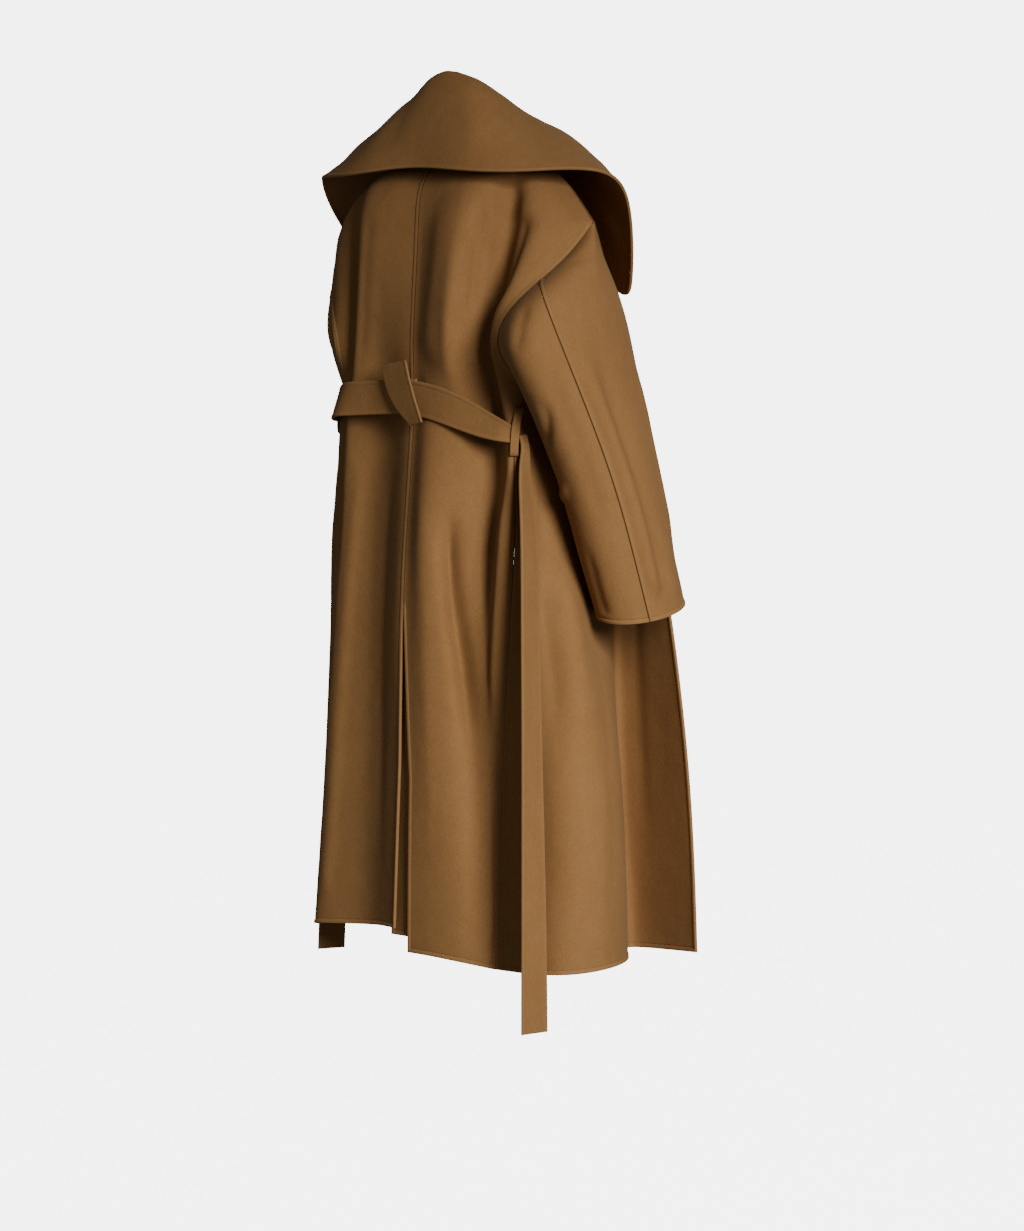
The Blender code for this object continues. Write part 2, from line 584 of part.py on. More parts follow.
pieces = {"back_left": back_left, "back_right": back_right,
          "front_left": front_left, "front_right": front_right, "collar": collar}
seams = [((back_left, to_vent, 0, INTO_COLUMNS), (back_right, to_vent, 0, INTO_COLUMNS))]
for word, side, back, front, table in (("right", RIGHT, back_right, front_right, RIGHT_SLEEVE),
                                       ("left", LEFT, back_left, front_left, LEFT_SLEEVE)):
    whole = Net(sleeve(table, back, front, side), flip=side == RIGHT, ring=True)
    under = whole.piece(range(BACK_SEAM, ARM_STEPS + 1))
    top = whole.piece([*range(ARM_STEPS, RING), *range(BACK_SEAM + 1)])
    pieces[f"sleeve_top_{word}"], pieces[f"sleeve_under_{word}"] = top, under
    # Round the armhole the top sleeve meets the back as far as its back seam, and the whole front.
    cap = slice(arm_start, arm_start + BACK_SEAM + 1)
    below = slice(arm_start + BACK_SEAM, arm_end + 1)
    up_the_front = slice(arm_end, arm_start - 1, -1)
    seams += [
        ((back, to_shoulder, -1, BACK_COLUMNS), (front, to_shoulder, 0, INTO_COLUMNS)),
        ((back, to_hem, -1, BACK_COLUMNS), (front, to_hem, 0, INTO_COLUMNS)),
        ((under, everything, 0, INTO_COLUMNS), (top, everything, -1, BACK_COLUMNS)),
        ((under, everything, -1, BACK_COLUMNS), (top, everything, 0, INTO_COLUMNS)),
        ((back, cap, -1, BACK_COLUMNS), (top, 0, slice(ARM_STEPS, None), INTO_ROWS)),
        ((back, below, -1, BACK_COLUMNS), (under, 0, everything, INTO_ROWS)),
        ((front, up_the_front, 0, INTO_COLUMNS), (top, 0, slice(0, ARM_STEPS + 1), INTO_ROWS)),
    ]

# Round the neckline, from the left front end.
place = 0
for panel, turned in ((front_left, True), (back_left, True), (back_right, False), (front_right, False)):
    count = panel.points.shape[1]
    across = slice(None, None, -1) if turned else everything
    seams.append(((panel, 0, across, INTO_ROWS), (collar, slice(place, place + count), 0, INTO_COLUMNS)))
    place += count - 1

join(seams)
for name, net in pieces.items():
    wall(name, net, coating)

wall("vent_underlap", Net(underlap_net()), coating)
for name, table in (("belt_left_run", LEFT_RUN), ("belt_right_run", RIGHT_RUN),
                    ("belt_tail_right", RIGHT_TAIL), ("belt_tail_left", LEFT_TAIL)):
    wall(name, strap_net(table), belting, BELT_CLOTH)
wall("belt_knot", wrap_net(), belting, BELT_CLOTH)
for word, back in (("right", back_right), ("left", back_left)):
    wall(f"belt_loop_{word}", loop_net(back.points[arm_end:, -1], *LOOPS[word]), belting, LOOP_CLOTH)
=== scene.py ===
import math

import bpy
import numpy as np
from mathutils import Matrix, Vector


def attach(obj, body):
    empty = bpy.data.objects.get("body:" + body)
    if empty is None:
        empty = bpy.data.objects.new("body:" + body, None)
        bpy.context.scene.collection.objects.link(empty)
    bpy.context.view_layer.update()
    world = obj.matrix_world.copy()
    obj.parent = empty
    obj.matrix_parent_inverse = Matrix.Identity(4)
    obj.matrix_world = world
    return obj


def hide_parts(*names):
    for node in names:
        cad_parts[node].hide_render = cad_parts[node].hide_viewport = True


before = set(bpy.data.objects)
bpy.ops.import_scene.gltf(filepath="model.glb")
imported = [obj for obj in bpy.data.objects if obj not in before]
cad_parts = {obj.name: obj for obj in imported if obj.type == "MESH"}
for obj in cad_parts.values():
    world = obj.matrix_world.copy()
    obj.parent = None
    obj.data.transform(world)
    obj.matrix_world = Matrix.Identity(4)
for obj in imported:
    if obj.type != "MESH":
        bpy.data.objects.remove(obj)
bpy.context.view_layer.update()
print("frame loaded:", len(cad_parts), "solids")

# Lengths in the tables are millimetres. +Z up, the wearer faces -Y, the wearer's left is +X.
mm = 0.001
right, left = -1, 1
cloth = {
    "thickness": 3.0,
    "cell": 5.0,                # size of a face in the middle of a piece
    "edgeRound": 1.1,
    "bandWidth": 6.6,           # turned-in and felled strip along an edge or a seam
    "armholeBand": 9.6,         # the same round an armhole
    "bandHeight": 1.15,
    "bandFade": 1.6,
    "grooveGap": 0.4,
    "grooveWidth": 0.8,
    "grooveDepth": 0.5,
    "pucker": 0.16,
    "puckerReach": 9,
    "seamWidth": 1.1,
    # reach of the lighter free edge: rubbed nap and a painted highlight
    "wearAndSheenWidth": 1.6,
    "calmEdge": 25,             # distance from an edge at which a fold has its whole height
    "calmSeam": 18,             # the same beside a seam, where a fold ends
    "foldSteps": 4,
    "waveSize": 46,
    "rippleSize": 15,
    "rippleShare": 0.22,
    "wearSize": 9,
    "shortRow": 2.6,            # a row under this many edge strips has its edge rows closer together
    # distances from an edge at which there is a row of points
    "edgeRows": (0, 0.12, 0.4, 0.8, 1.3, 2.4, 4.0, 5.4, 6.2, 6.8, 7.3, 7.9, 8.8, 9.6, 10.3, 11.0, 12.2, 14.5),
}


# smooth curves and nets
def bspline(points, at, mirrorStart=False):
    given = np.asarray(points, float)
    eased = given.copy()
    eased[1:-1] -= (given[:-2] - 2 * given[1:-1] + given[2:]) / 6
    before = 2 * eased[0] - eased[1]
    if mirrorStart:
        before = eased[1] * np.array([-1, 1, 1])
        eased[0] = 1.5 * given[0] - 0.25 * (before + eased[1])
    eased = np.vstack([before, eased, 2 * eased[-1] - eased[-2]])
    at = np.atleast_1d(np.asarray(at, float))
    number = np.clip(np.floor(at).astype(int), 0, len(given) - 2)
    part = (at - number)[:, None]
    return ((1 - part) ** 3 * eased[number]
            + (3 * part ** 3 - 6 * part ** 2 + 4) * eased[number + 1]
            + (-3 * part ** 3 + 3 * part ** 2 + 3 * part + 1) * eased[number + 2]
            + part ** 3 * eased[number + 3]) / 6


def spread(counts, finer=1):
    places = [i + k / (n * finer) for i, n in enumerate(counts) for k in range(n * finer)]
    return np.array(places + [len(counts)])


def smooth(value):
    value = np.clip(value, 0, 1)
    return value * value * (3 - 2 * value)


# net read along its rows at fractional columns, one list of them for each row
def readRows(net, index):
    low = np.clip(np.floor(index).astype(int), 0, net.shape[1] - 2)
    part = (index - low)[..., None]

    def column(shift):
        return np.take_along_axis(net, np.clip(low + shift, 0, net.shape[1] - 1)[..., None], axis=1)

    before, here, there, after = column(-1), column(0), column(1), column(2)
    before = np.where((low == 0)[..., None], 2 * here - there, before)
    after = np.where((low == net.shape[1] - 2)[..., None], 2 * there - here, after)
    return 0.5 * (2 * here + (there - before) * part
                  + (2 * before - 5 * here + 4 * there - after) * part ** 2
                  + (3 * here - before - 3 * there + after) * part ** 3)


def arcLength(net):
    step = np.linalg.norm(np.diff(net[..., :3], axis=1), axis=-1)
    return np.concatenate([np.zeros((net.shape[0], 1)), np.cumsum(step, axis=1)], axis=1)


# points along each row at the same distances from its two ends, evenly spread between
def gradeRows(net, cell, edgeRows):
    along = arcLength(net)
    whole = along[:, -1]
    rows = np.array(edgeRows)
    middle = max(3, int(round(np.median(whole) / cell)))
    index = []
    for length, reach in zip(whole, along):
        ease = min(1.0, length / (cloth["shortRow"] * rows[-1]))
        near = rows * ease
        between = np.linspace(near[-1], length - near[-1], middle + 1)[1:-1]
        wanted = np.concatenate([near, between, length - near[::-1]])
        index.append(np.interp(wanted, reach, np.arange(len(reach))))
    return readRows(net, np.array(index))


def grade(net, cell, edgeRows):
    net = gradeRows(net, cell, edgeRows)
    return gradeRows(net.transpose(1, 0, 2), cell, edgeRows).transpose(1, 0, 2)


def facingOf(points):
    facing = np.cross(np.gradient(points, axis=0), np.gradient(points, axis=1))
    return facing / np.maximum(np.linalg.norm(facing, axis=2, keepdims=True), 1e-9)


# uneven cloth
# smooth noise between -1 and 1 at points, with lumps about size apart
def unevenness(points, size, seed):
    at = points / size
    low = np.floor(at).astype(np.int64)
    part = at - low
    part = part * part * (3 - 2 * part)
    total = np.zeros(points.shape[:-1])
    for corner in range(8):
        offset = np.array([corner & 1, corner >> 1 & 1, corner >> 2 & 1])
        key = low + offset      # each whole place gets its own repeatable value from large odd numbers
        mixed = (key[..., 0] * 73856093 ^ key[..., 1] * 19349663 ^ key[..., 2] * 83492791
                 ^ seed * 2654435761) & 0xFFFFFFFF
        mixed = (mixed ^ (mixed >> 15)) * 2246822519 & 0xFFFFFFFF
        mixed = (mixed ^ (mixed >> 13)) * 3266489917 & 0xFFFFFFFF
        value = ((mixed >> 8) & 0xFFFF) / 32767.5 - 1
        weight = np.prod(np.where(offset == 1, part, 1 - part), axis=-1)
        total += value * weight
    return total


# points of the smooth surface at (post, level) places
def onNet(dense, places):
    posts, levels = dense[0, :, 3], dense[:, 0, 4]
    found = []
    for post, level in places:
        column = np.interp(post, posts, np.arange(len(posts)))
        row = np.interp(level, levels, np.arange(len(levels)))
        c, r = min(int(column), len(posts) - 2), min(int(row), len(levels) - 2)
        a, b = column - c, row - r
        found.append((dense[r, c] * (1 - a) + dense[r, c + 1] * a) * (1 - b)
                     + (dense[r + 1, c] * (1 - a) + dense[r + 1, c + 1] * a) * b)
    return np.array(found)[:, :3]


# one fold along (post, level) places: a trough where depth is negative, a ridge where it is
# positive, and with a step one side of it stands above the other
def crease(depth, width, *path, step=None, ends=(0.3, 0.3), on=None):
    return {"depth": depth, "width": width, "path": path, "step": step, "ends": ends, "on": on}


def foldHeight(points, facing, dense, fold):
    steps = spread([cloth["foldSteps"]] * (len(fold["path"]) - 1))
    path = onNet(dense, bspline([(*place, 0) for place in fold["path"]], steps)[:, :2])
    best = np.full(points.shape[:2], 1e9)
    along = np.zeros(points.shape[:2])
    signed = np.zeros(points.shape[:2])
    for number, (start, end) in enumerate(zip(path[:-1], path[1:])):
        run = end - start
        share = np.clip(np.sum((points - start) * run, axis=-1) / np.dot(run, run), 0, 1)
        away = points - (start + share[..., None] * run)
        distance = np.linalg.norm(away, axis=-1)
        closer = distance < best
        best = np.where(closer, distance, best)
        along = np.where(closer, (number + share) / (len(path) - 1), along)
        turn = np.sign(np.sum(np.cross(run, facing) * away, axis=-1))
        signed = np.where(closer, distance * turn, signed)
    width, (first, last) = fold["width"], fold["ends"]
    shape = np.exp(-(best / width) ** 2)
    if fold["step"]:
        shape = np.tanh(signed / width) * np.exp(-(best / (width * fold["step"])) ** 2)
    taper = smooth(along / first) * smooth((1 - along) / last)
    return fold["depth"] * shape * taper


def shareAt(level, amount):
    return amount(level) if callable(amount) else amount * np.ones_like(level)


# a piece of cloth: a closed thin shell on a dense net (x, y, z, post, level)
# bands and seams: how strong the felled band (painted highlight) or the seam line (painted shade) is at the
# "first" and "last" column and the "top" and "bottom" row, a number or a function of level, for a band with
# its width where that differs
def clothPiece(name, dense, flip, bands, folds=(), seams={}, thickness=cloth["thickness"], cell=cloth["cell"],
               seed=1, wave=0.9, roundness=cloth["edgeRound"], edgeRows=cloth["edgeRows"]):
    net = grade(dense, cell, edgeRows)
    points, level = net[..., :3], net[..., 4]
    facing = facingOf(points) * (-1 if flip else 1)
    across = arcLength(net)
    down = arcLength(net.transpose(1, 0, 2)).T
    reach = {"first": across, "last": across[:, -1:] - across, "top": down, "bottom": down[-1:] - down}

    height = np.zeros(points.shape[:2])
    crossing = np.zeros(points.shape[:2])
    for fold in folds:
        if fold["on"] is not None:
            crossing += foldHeight(points, facing, fold["on"], fold)
        else:
            height += foldHeight(points, facing, dense, fold)
    edge = np.minimum.reduce(list(reach.values()))
    calm = smooth(edge / cloth["calmEdge"])
    ended = smooth(np.minimum.reduce([reach[side] for side in seams]) / cloth["calmSeam"]) if seams else 1
    height = height * (0.25 + 0.75 * calm) * ended + crossing
    height += wave * unevenness(points * [1, 1, 0.35], cloth["waveSize"], seed) * calm
    ripple = unevenness(points * [1, 1, 0.8], cloth["rippleSize"], seed + 7)
    height += cloth["rippleShare"] * wave * ripple * calm

    relief = np.zeros(points.shape[:2])
    # lighter colour on felled bands and free edges: partly rubbed nap, partly a painted highlight where they
    # catch the light
    rub = np.zeros(points.shape[:2])
    bumps = 1 + 0.5 * unevenness(points, cloth["wearSize"], seed + 3)
    for side, amount in bands.items():
        distance, bandWidth = reach[side], cloth["bandWidth"]
        if isinstance(amount, tuple):
            amount, bandWidth = amount
        share = shareAt(level, amount)
        band = smooth((bandWidth - distance) / cloth["bandFade"])
        groove = np.exp(-((distance - bandWidth - cloth["grooveGap"]) / cloth["grooveWidth"]) ** 2)
        pucker = cloth["pucker"] * (bumps - 1) * np.exp(-(distance / cloth["puckerReach"]) ** 2)
        relief = np.maximum(relief, share * cloth["bandHeight"] * band * (0.75 + 0.25 * bumps))
        relief -= share * (cloth["grooveDepth"] * groove + pucker)
        rub = np.maximum(rub, share * band * (0.8 + 0.2 * bumps))
    # darker colour along seam lines: painted shade of the seam groove
    sunken = np.zeros(points.shape[:2])
    for side, amount in seams.items():
        sunken = np.maximum(sunken, shareAt(level, amount) * np.exp(-(reach[side] / cloth["seamWidth"]) ** 2))
    rim = np.sqrt(np.clip(1 - (1 - np.clip(edge / roundness, 0, 1)) ** 2, 0, 1))
    rub = np.clip(np.maximum(rub, np.exp(-(edge / cloth["wearAndSheenWidth"]) ** 2)) - 2 * sunken, 0, 1)

    base = points + facing * height[..., None]
    facing = facingOf(base) * (-1 if flip else 1)
    half = thickness / 2
    outer = base + facing * (rim * (half + relief))[..., None]
    inner = base - facing * (rim * (half + 0.5 * np.clip(relief, 0, 9)))[..., None]
    piece = closedShell(name, outer, inner, flip, across, down, {"rub": rub, "sunken": sunken})
    print(f"{name}: {len(piece.data.polygons)} faces, {flatArea(piece):.4f} m2, "
          f"{across[:, -1].max() * mm:.3f} x {down[-1].max() * mm:.3f} m")
    return piece


def addObject(name, data):
    made = bpy.data.objects.new(name, data)
    bpy.context.scene.collection.objects.link(made)
    return made


# two nets that share their rim, as one mesh with a UV map, both in metres, and the wear and painted light and
# shade as attributes
def closedShell(name, outer, inner, flip, across, down, wearAndPaintedLight):
    rows, columns = outer.shape[:2]
    number = np.arange(rows * columns).reshape(rows, columns)
    back = np.full((rows, columns), -1)
    back[1:-1, 1:-1] = rows * columns + np.arange((rows - 2) * (columns - 2)).reshape(rows - 2, columns - 2)
    back = np.where(back < 0, number, back)
    corners = [number[:-1, :-1], number[1:, :-1], number[1:, 1:], number[:-1, 1:]]
    behind = [back[:-1, :-1], back[:-1, 1:], back[1:, 1:], back[1:, :-1]]
    if flip:
        corners, behind = corners[::-1], behind[::-1]
    faces = np.concatenate([np.stack(side, axis=-1).reshape(-1, 4) for side in (corners, behind)])
    points = np.concatenate([outer.reshape(-1, 3), inner[1:-1, 1:-1].reshape(-1, 3)]) * mm

    mesh = bpy.data.meshes.new(name)
    mesh.from_pydata(points.tolist(), [], faces.tolist())
    mesh.shade_smooth()

    def perPoint(field):
        return np.concatenate([field.reshape(-1), field[1:-1, 1:-1].reshape(-1)])

    for field, amount in wearAndPaintedLight.items():
        markLayer = mesh.attributes.new(field, "FLOAT", "POINT")
        markLayer.data.foreach_set("value", perPoint(amount).astype(np.float32))
    flatPlace = np.stack([perPoint(across), perPoint(down)], axis=1) * mm
    uv = mesh.uv_layers.new(name="clothUV")
    uv.data.foreach_set("uv", flatPlace[faces.reshape(-1)].astype(np.float32).reshape(-1))
    return addObject(name, mesh)


# adds the (post, level) place to each point of a net
def withPlaces(points, posts, levels):
    grid = np.stack(np.meshgrid(posts, levels), axis=-1)
    return np.concatenate([points, grid], axis=2)


# area of one face of the shell, in square metres
def flatArea(piece):
    mesh = piece.data
    areas = np.zeros(len(mesh.polygons))
    mesh.polygons.foreach_get("area", areas)
    return float(areas.sum()) / 2


# body: (out from the centre plane, back from the neck) at each post and level
levelNames = ("neck", "yoke", "shoulder", "armhole", "underarm", "waist", "skirt", "hip", "knee", "hem")
shoulderPoint, underarm, ventTop = 2, 4, 7
backPosts, frontPosts = 6, 5
givenPosts = (0, 3, 4, 5)        # front posts whose heights are in the table

rightBack = {
    #              centre     inner      middle     outer       valley      fold
    "neck":     ((0, 75),   (20, 74),  (40, 69),  (55, 60),   (66, 48),   (76, 30)),
    "yoke":     ((0, 138),  (45, 142), (85, 140), (118, 130), (146, 104), (168, 72)),
    "shoulder": ((0, 148),  (46, 154), (86, 168), (112, 154), (148, 104), (204, 126)),
    "armhole":  ((0, 160),  (40, 168), (82, 188), (101, 180), (134, 112), (164, 178)),
    "underarm": ((0, 160),  (38, 169), (75, 173), (100, 163), (134, 102), (170, 162)),
    "waist":    ((0, 158),  (34, 170), (78, 165), (112, 144), (134, 106), (174, 148)),
    "skirt":    ((0, 171),  (36, 189), (72, 182), (108, 154), (134, 122), (174, 150)),
    "hip":      ((0, 184),  (34, 193), (78, 187), (100, 166), (132, 146), (160, 152)),
    "knee":     ((19, 192), (50, 193), (86, 188), (112, 173), (126, 148), (138, 134)),
    "hem":      ((14, 190), (54, 190), (94, 186), (126, 177), (146, 165), (154, 154)),
}
leftBack = {
    #              centre     inner      middle      outer       valley      fold
    "neck":     rightBack["neck"],
    "yoke":     ((0, 138),  (45, 142), (82, 140),  (112, 132), (142, 104), (166, 66)),
    "shoulder": ((0, 148),  (42, 152), (82, 155),  (118, 154), (140, 122), (206, 116)),
    "armhole":  ((0, 160),  (44, 156), (88, 150),  (130, 156), (144, 124), (172, 132)),
    "underarm": ((0, 160),  (46, 149), (90, 139),  (138, 152), (152, 124), (176, 120)),
    "waist":    ((0, 158),  (46, 142), (92, 128),  (150, 149), (166, 124), (192, 118)),
    "skirt":    ((0, 171),  (50, 149), (104, 131), (164, 142), (180, 120), (204, 112)),
    "hip":      ((0, 184),  (48, 163), (100, 143), (172, 150), (190, 128), (216, 108)),
    "knee":     ((2, 190),  (48, 170), (100, 149), (186, 155), (206, 130), (230, 98)),
    "hem":      ((12, 191), (58, 172), (112, 155), (206, 160), (224, 134), (242, 100)),
}
rightFront = {
    #              quarter    flank        crease       hollow       edge
    "neck":     ((91, -18),  (93, -50),  (90, -84),   (83, -118),  (75, -150)),
    "yoke":     ((156, -12), (138, -50), (120, -88),  (100, -125), (80, -160)),
    "shoulder": ((215, -20), (178, -68), (148, -105), (118, -138), (88, -168)),
    "armhole":  ((184, -84), (164, -110), (144, -134), (124, -156), (100, -178)),
    "underarm": ((195, 60),  (192, -6),  (172, -85),  (144, -144), (115, -200)),
    "waist":    ((190, 110), (196, 34),  (178, -76),  (132, -164), (150, -215)),
    "skirt":    ((204, 122), (214, 70),  (198, -68),  (124, -178), (204, -184)),
    "hip":      ((221, 138), (244, 98),  (215, -56),  (118, -188), (258, -158)),
    "knee":     ((240, 142), (306, 120), (294, -4),   (116, -190), (300, -156)),
    "hem":      ((252, 164), (314, 132), (302, -4),   (150, -176), (326, -139)),
}
leftFront = {
    #              quarter    flank        crease       hollow       edge
    "neck":     rightFront["neck"],
    "yoke":     rightFront["yoke"],
    "shoulder": ((212, -26), (178, -70), (148, -106), (118, -138), (88, -168)),
    "armhole":  ((180, -102), (160, -122), (142, -140), (123, -158), (100, -178)),
    "underarm": ((191, 26),  (182, -34), (164, -94),  (142, -145), (112, -195)),
    "waist":    ((196, 48),  (190, -12), (172, -85),  (138, -150), (132, -212)),
    "skirt":    ((214, 44),  (210, -18), (192, -96),  (140, -164), (160, -222)),
    "hip":      ((232, 38),  (232, -26), (214, -108), (146, -182), (196, -226)),
    "knee":     ((250, 18),  (256, -46), (238, -124), (160, -204), (226, -246)),
    "hem":      ((262, 12),  (275, -54), (254, -130), (176, -212), (252, -262)),
}
sideSeam = {
    #              right      left
    "neck":     ((85, 8),    (85, 8)),
    "yoke":     ((178, 25),  (176, 22)),
    "shoulder": ((268, 50),  (262, 38)),
    "underarm": ((202, 122), (196, 84)),
    "waist":    ((190, 147), (202, 94)),
    "skirt":    ((192, 144), (220, 88)),
    "hip":      ((188, 150), (232, 82)),
    "knee":     ((152, 130), (245, 62)),
    "hem":      ((160, 146), (255, 60)),
}
heights = {
    #              right: centre, side, crease, hollow, edge; left
    "neck":     ((5, 5, -64, -95, -130),) * 2,
    "yoke":     ((-50, -35, -102, -132, -165),) * 2,
    "shoulder": ((-130, -120, -164, -183, -205),) * 2,
    "armhole":  ((-283, -270, -267, -266, -265),) * 2,
    "underarm": ((-350, -365, -357, -354, -350),) * 2,
    "waist":    ((-400, -445, -437, -434, -430),     (-400, -400, -410, -415, -420)),
    "skirt":    ((-550, -575, -567, -565, -560),     (-550, -540, -545, -548, -550)),
    "hip":      ((-700, -710, -710, -712, -710),     (-700, -690, -695, -698, -700)),
    "knee":     ((-980, -990, -986, -992, -988),     (-960, -958, -967, -972, -975)),
    "hem":      ((-1245, -1263, -1252, -1264, -1253), (-1210, -1234, -1256, -1256, -1250)),
}
armholes = {
    "right back":  ((268, 50, -120), (250, 84, -168), (232, 126, -208), (214, 162, -242), (202, 186, -276),
                    (196, 188, -312), (196, 160, -344), (202, 122, -365)),
    "right front": ((268, 50, -120), (256, 12, -170), (234, -32, -225), (212, -54, -278), (204, -26, -312),
                    (201, 36, -342), (202, 122, -365)),
    "left back":   ((262, 38, -120), (246, 72, -168), (224, 104, -218), (202, 126, -262), (192, 132, -300),
                    (192, 114, -340), (196, 84, -365)),
    "left front":  ((262, 38, -120), (250, -4, -170), (228, -54, -225), (208, -80, -278), (200, -56, -312),
                    (196, 2, -342), (196, 84, -365)),
}
levelSteps = (2, 2, 5, 5, 3, 3, 3, 4, 4)
backSteps = (2, 2, 3, 3, 3, 2)
frontSteps = (2, 2, 2, 2, 2)
armSteps = levelSteps[2] + levelSteps[3]
finer = {"rows": 10, "columns": 6}      # steps of the smooth net for each step of the solids


def postPlaces(back, front, side):
    column = 0 if side == right else 1
    net = []
    for level in levelNames:
        centreHeight, *frontHeights = heights[level][column]
        sideHeight = frontHeights[0]
        seam = sideSeam.get(level, sideSeam["underarm"])[column]
        row = []
        for i, (out, rear) in enumerate(back[level]):
            row.append((out, rear, centreHeight + (sideHeight - centreHeight) * smooth(i / backPosts)))
        row.append((*seam, sideHeight))
        for i, (out, rear) in enumerate(front[level], start=1):
            row.append((out, rear, np.interp(i, givenPosts, frontHeights)))
        net.append(row)
    return np.array(net, float)


# dense nets of one half's back and front, whose seam lines agree
def bodyHalf(back, front, side, word):
    net = postPlaces(back, front, side)
    rows = spread(levelSteps, finer["rows"])
    posts = np.stack([bspline(net[:, i], rows) for i in range(net.shape[1])], axis=1)
    upper, lower = rows <= shoulderPoint, rows >= underarm
    arm = ~upper & ~lower
    seam = np.zeros((len(rows), 3))
    seam[upper] = bspline(net[:shoulderPoint + 1, backPosts], rows[upper])
    seam[lower] = bspline(net[underarm:, backPosts], rows[lower] - underarm)
    posts[:, backPosts] = seam
    vent = rows > ventTop
    posts[~vent, 0, 0] = 0
    opening = net[ventTop:, 0, 0]
    posts[vent, 0, 0] = np.interp(rows[vent] - ventTop, range(len(opening)), opening)

    share = (rows[arm] - shoulderPoint) / (underarm - shoulderPoint)
    armBack, armFront = [bspline(armholes[f"{word} {name}"], share * (len(armholes[f"{word} {name}"]) - 1))
                         for name in ("back", "front")]
    backAt, frontAt = spread(backSteps, finer["columns"]), spread(frontSteps, finer["columns"])
    ringAt = np.concatenate([backAt, backPosts + frontAt[1:]])
    backRows, frontRows = [], []
    for i, level in enumerate(rows):
        backLine, frontLine = posts[i, :backPosts + 1].copy(), posts[i, backPosts:].copy()
        if arm[i]:
            backLine[-1] = armBack[np.sum(arm[:i])]
            frontLine[0] = armFront[np.sum(arm[:i])]
        joined, split = smooth(level - underarm), smooth(level - ventTop)
        even = bspline(backLine, backAt, mirrorStart=True)
        backRow = even + (bspline(backLine, backAt) - even) * split
        frontRow = bspline(frontLine, frontAt)
        if joined > 0:
            even = bspline(posts[i], ringAt, mirrorStart=True)
            ring = even + (bspline(posts[i], ringAt) - even) * split
            backRow = backRow + (ring[:len(backAt)] - backRow) * joined
            frontRow = frontRow + (ring[len(backAt) - 1:] - frontRow) * joined
        backRows.append(backRow)
        frontRows.append(frontRow)
    toSide = np.array([side, 1, 1])
    return (withPlaces(np.array(backRows) * toSide, backAt, rows),
            withPlaces(np.array(frontRows) * toSide, backPosts + frontAt, rows))


backRight, frontRight = bodyHalf(rightBack, rightFront, right, "right")
backLeft, frontLeft = bodyHalf(leftBack, leftFront, left, "left")
# a soft ridge along each side seam, on both pieces
rightRidge = crease(12, 10, (5.2, 5.4), (5.3, 6.3), (5.3, 7.0), (5.25, 7.4), (5.1, 7.9),
                    ends=(0.25, 0.3), on=backRight)
leftRidge = crease(5, 10, (5.3, 5.6), (5.4, 6.6), (5.3, 7.6), (5.2, 8.6), ends=(0.3, 0.2), on=backLeft)
toVent = backRight[:, 0, 4] <= ventTop
centreSeam = (backRight[toVent, 0, :3] + backLeft[toVent, 0, :3]) / 2
backRight[toVent, 0, :3] = centreSeam
backLeft[toVent, 0, :3] = centreSeam


# how high a band is where it runs only from one level to another
def between(low, high, fade=0.05):
    return lambda level: smooth((level - low) / fade + 0.5) * smooth((high - level) / fade + 0.5)


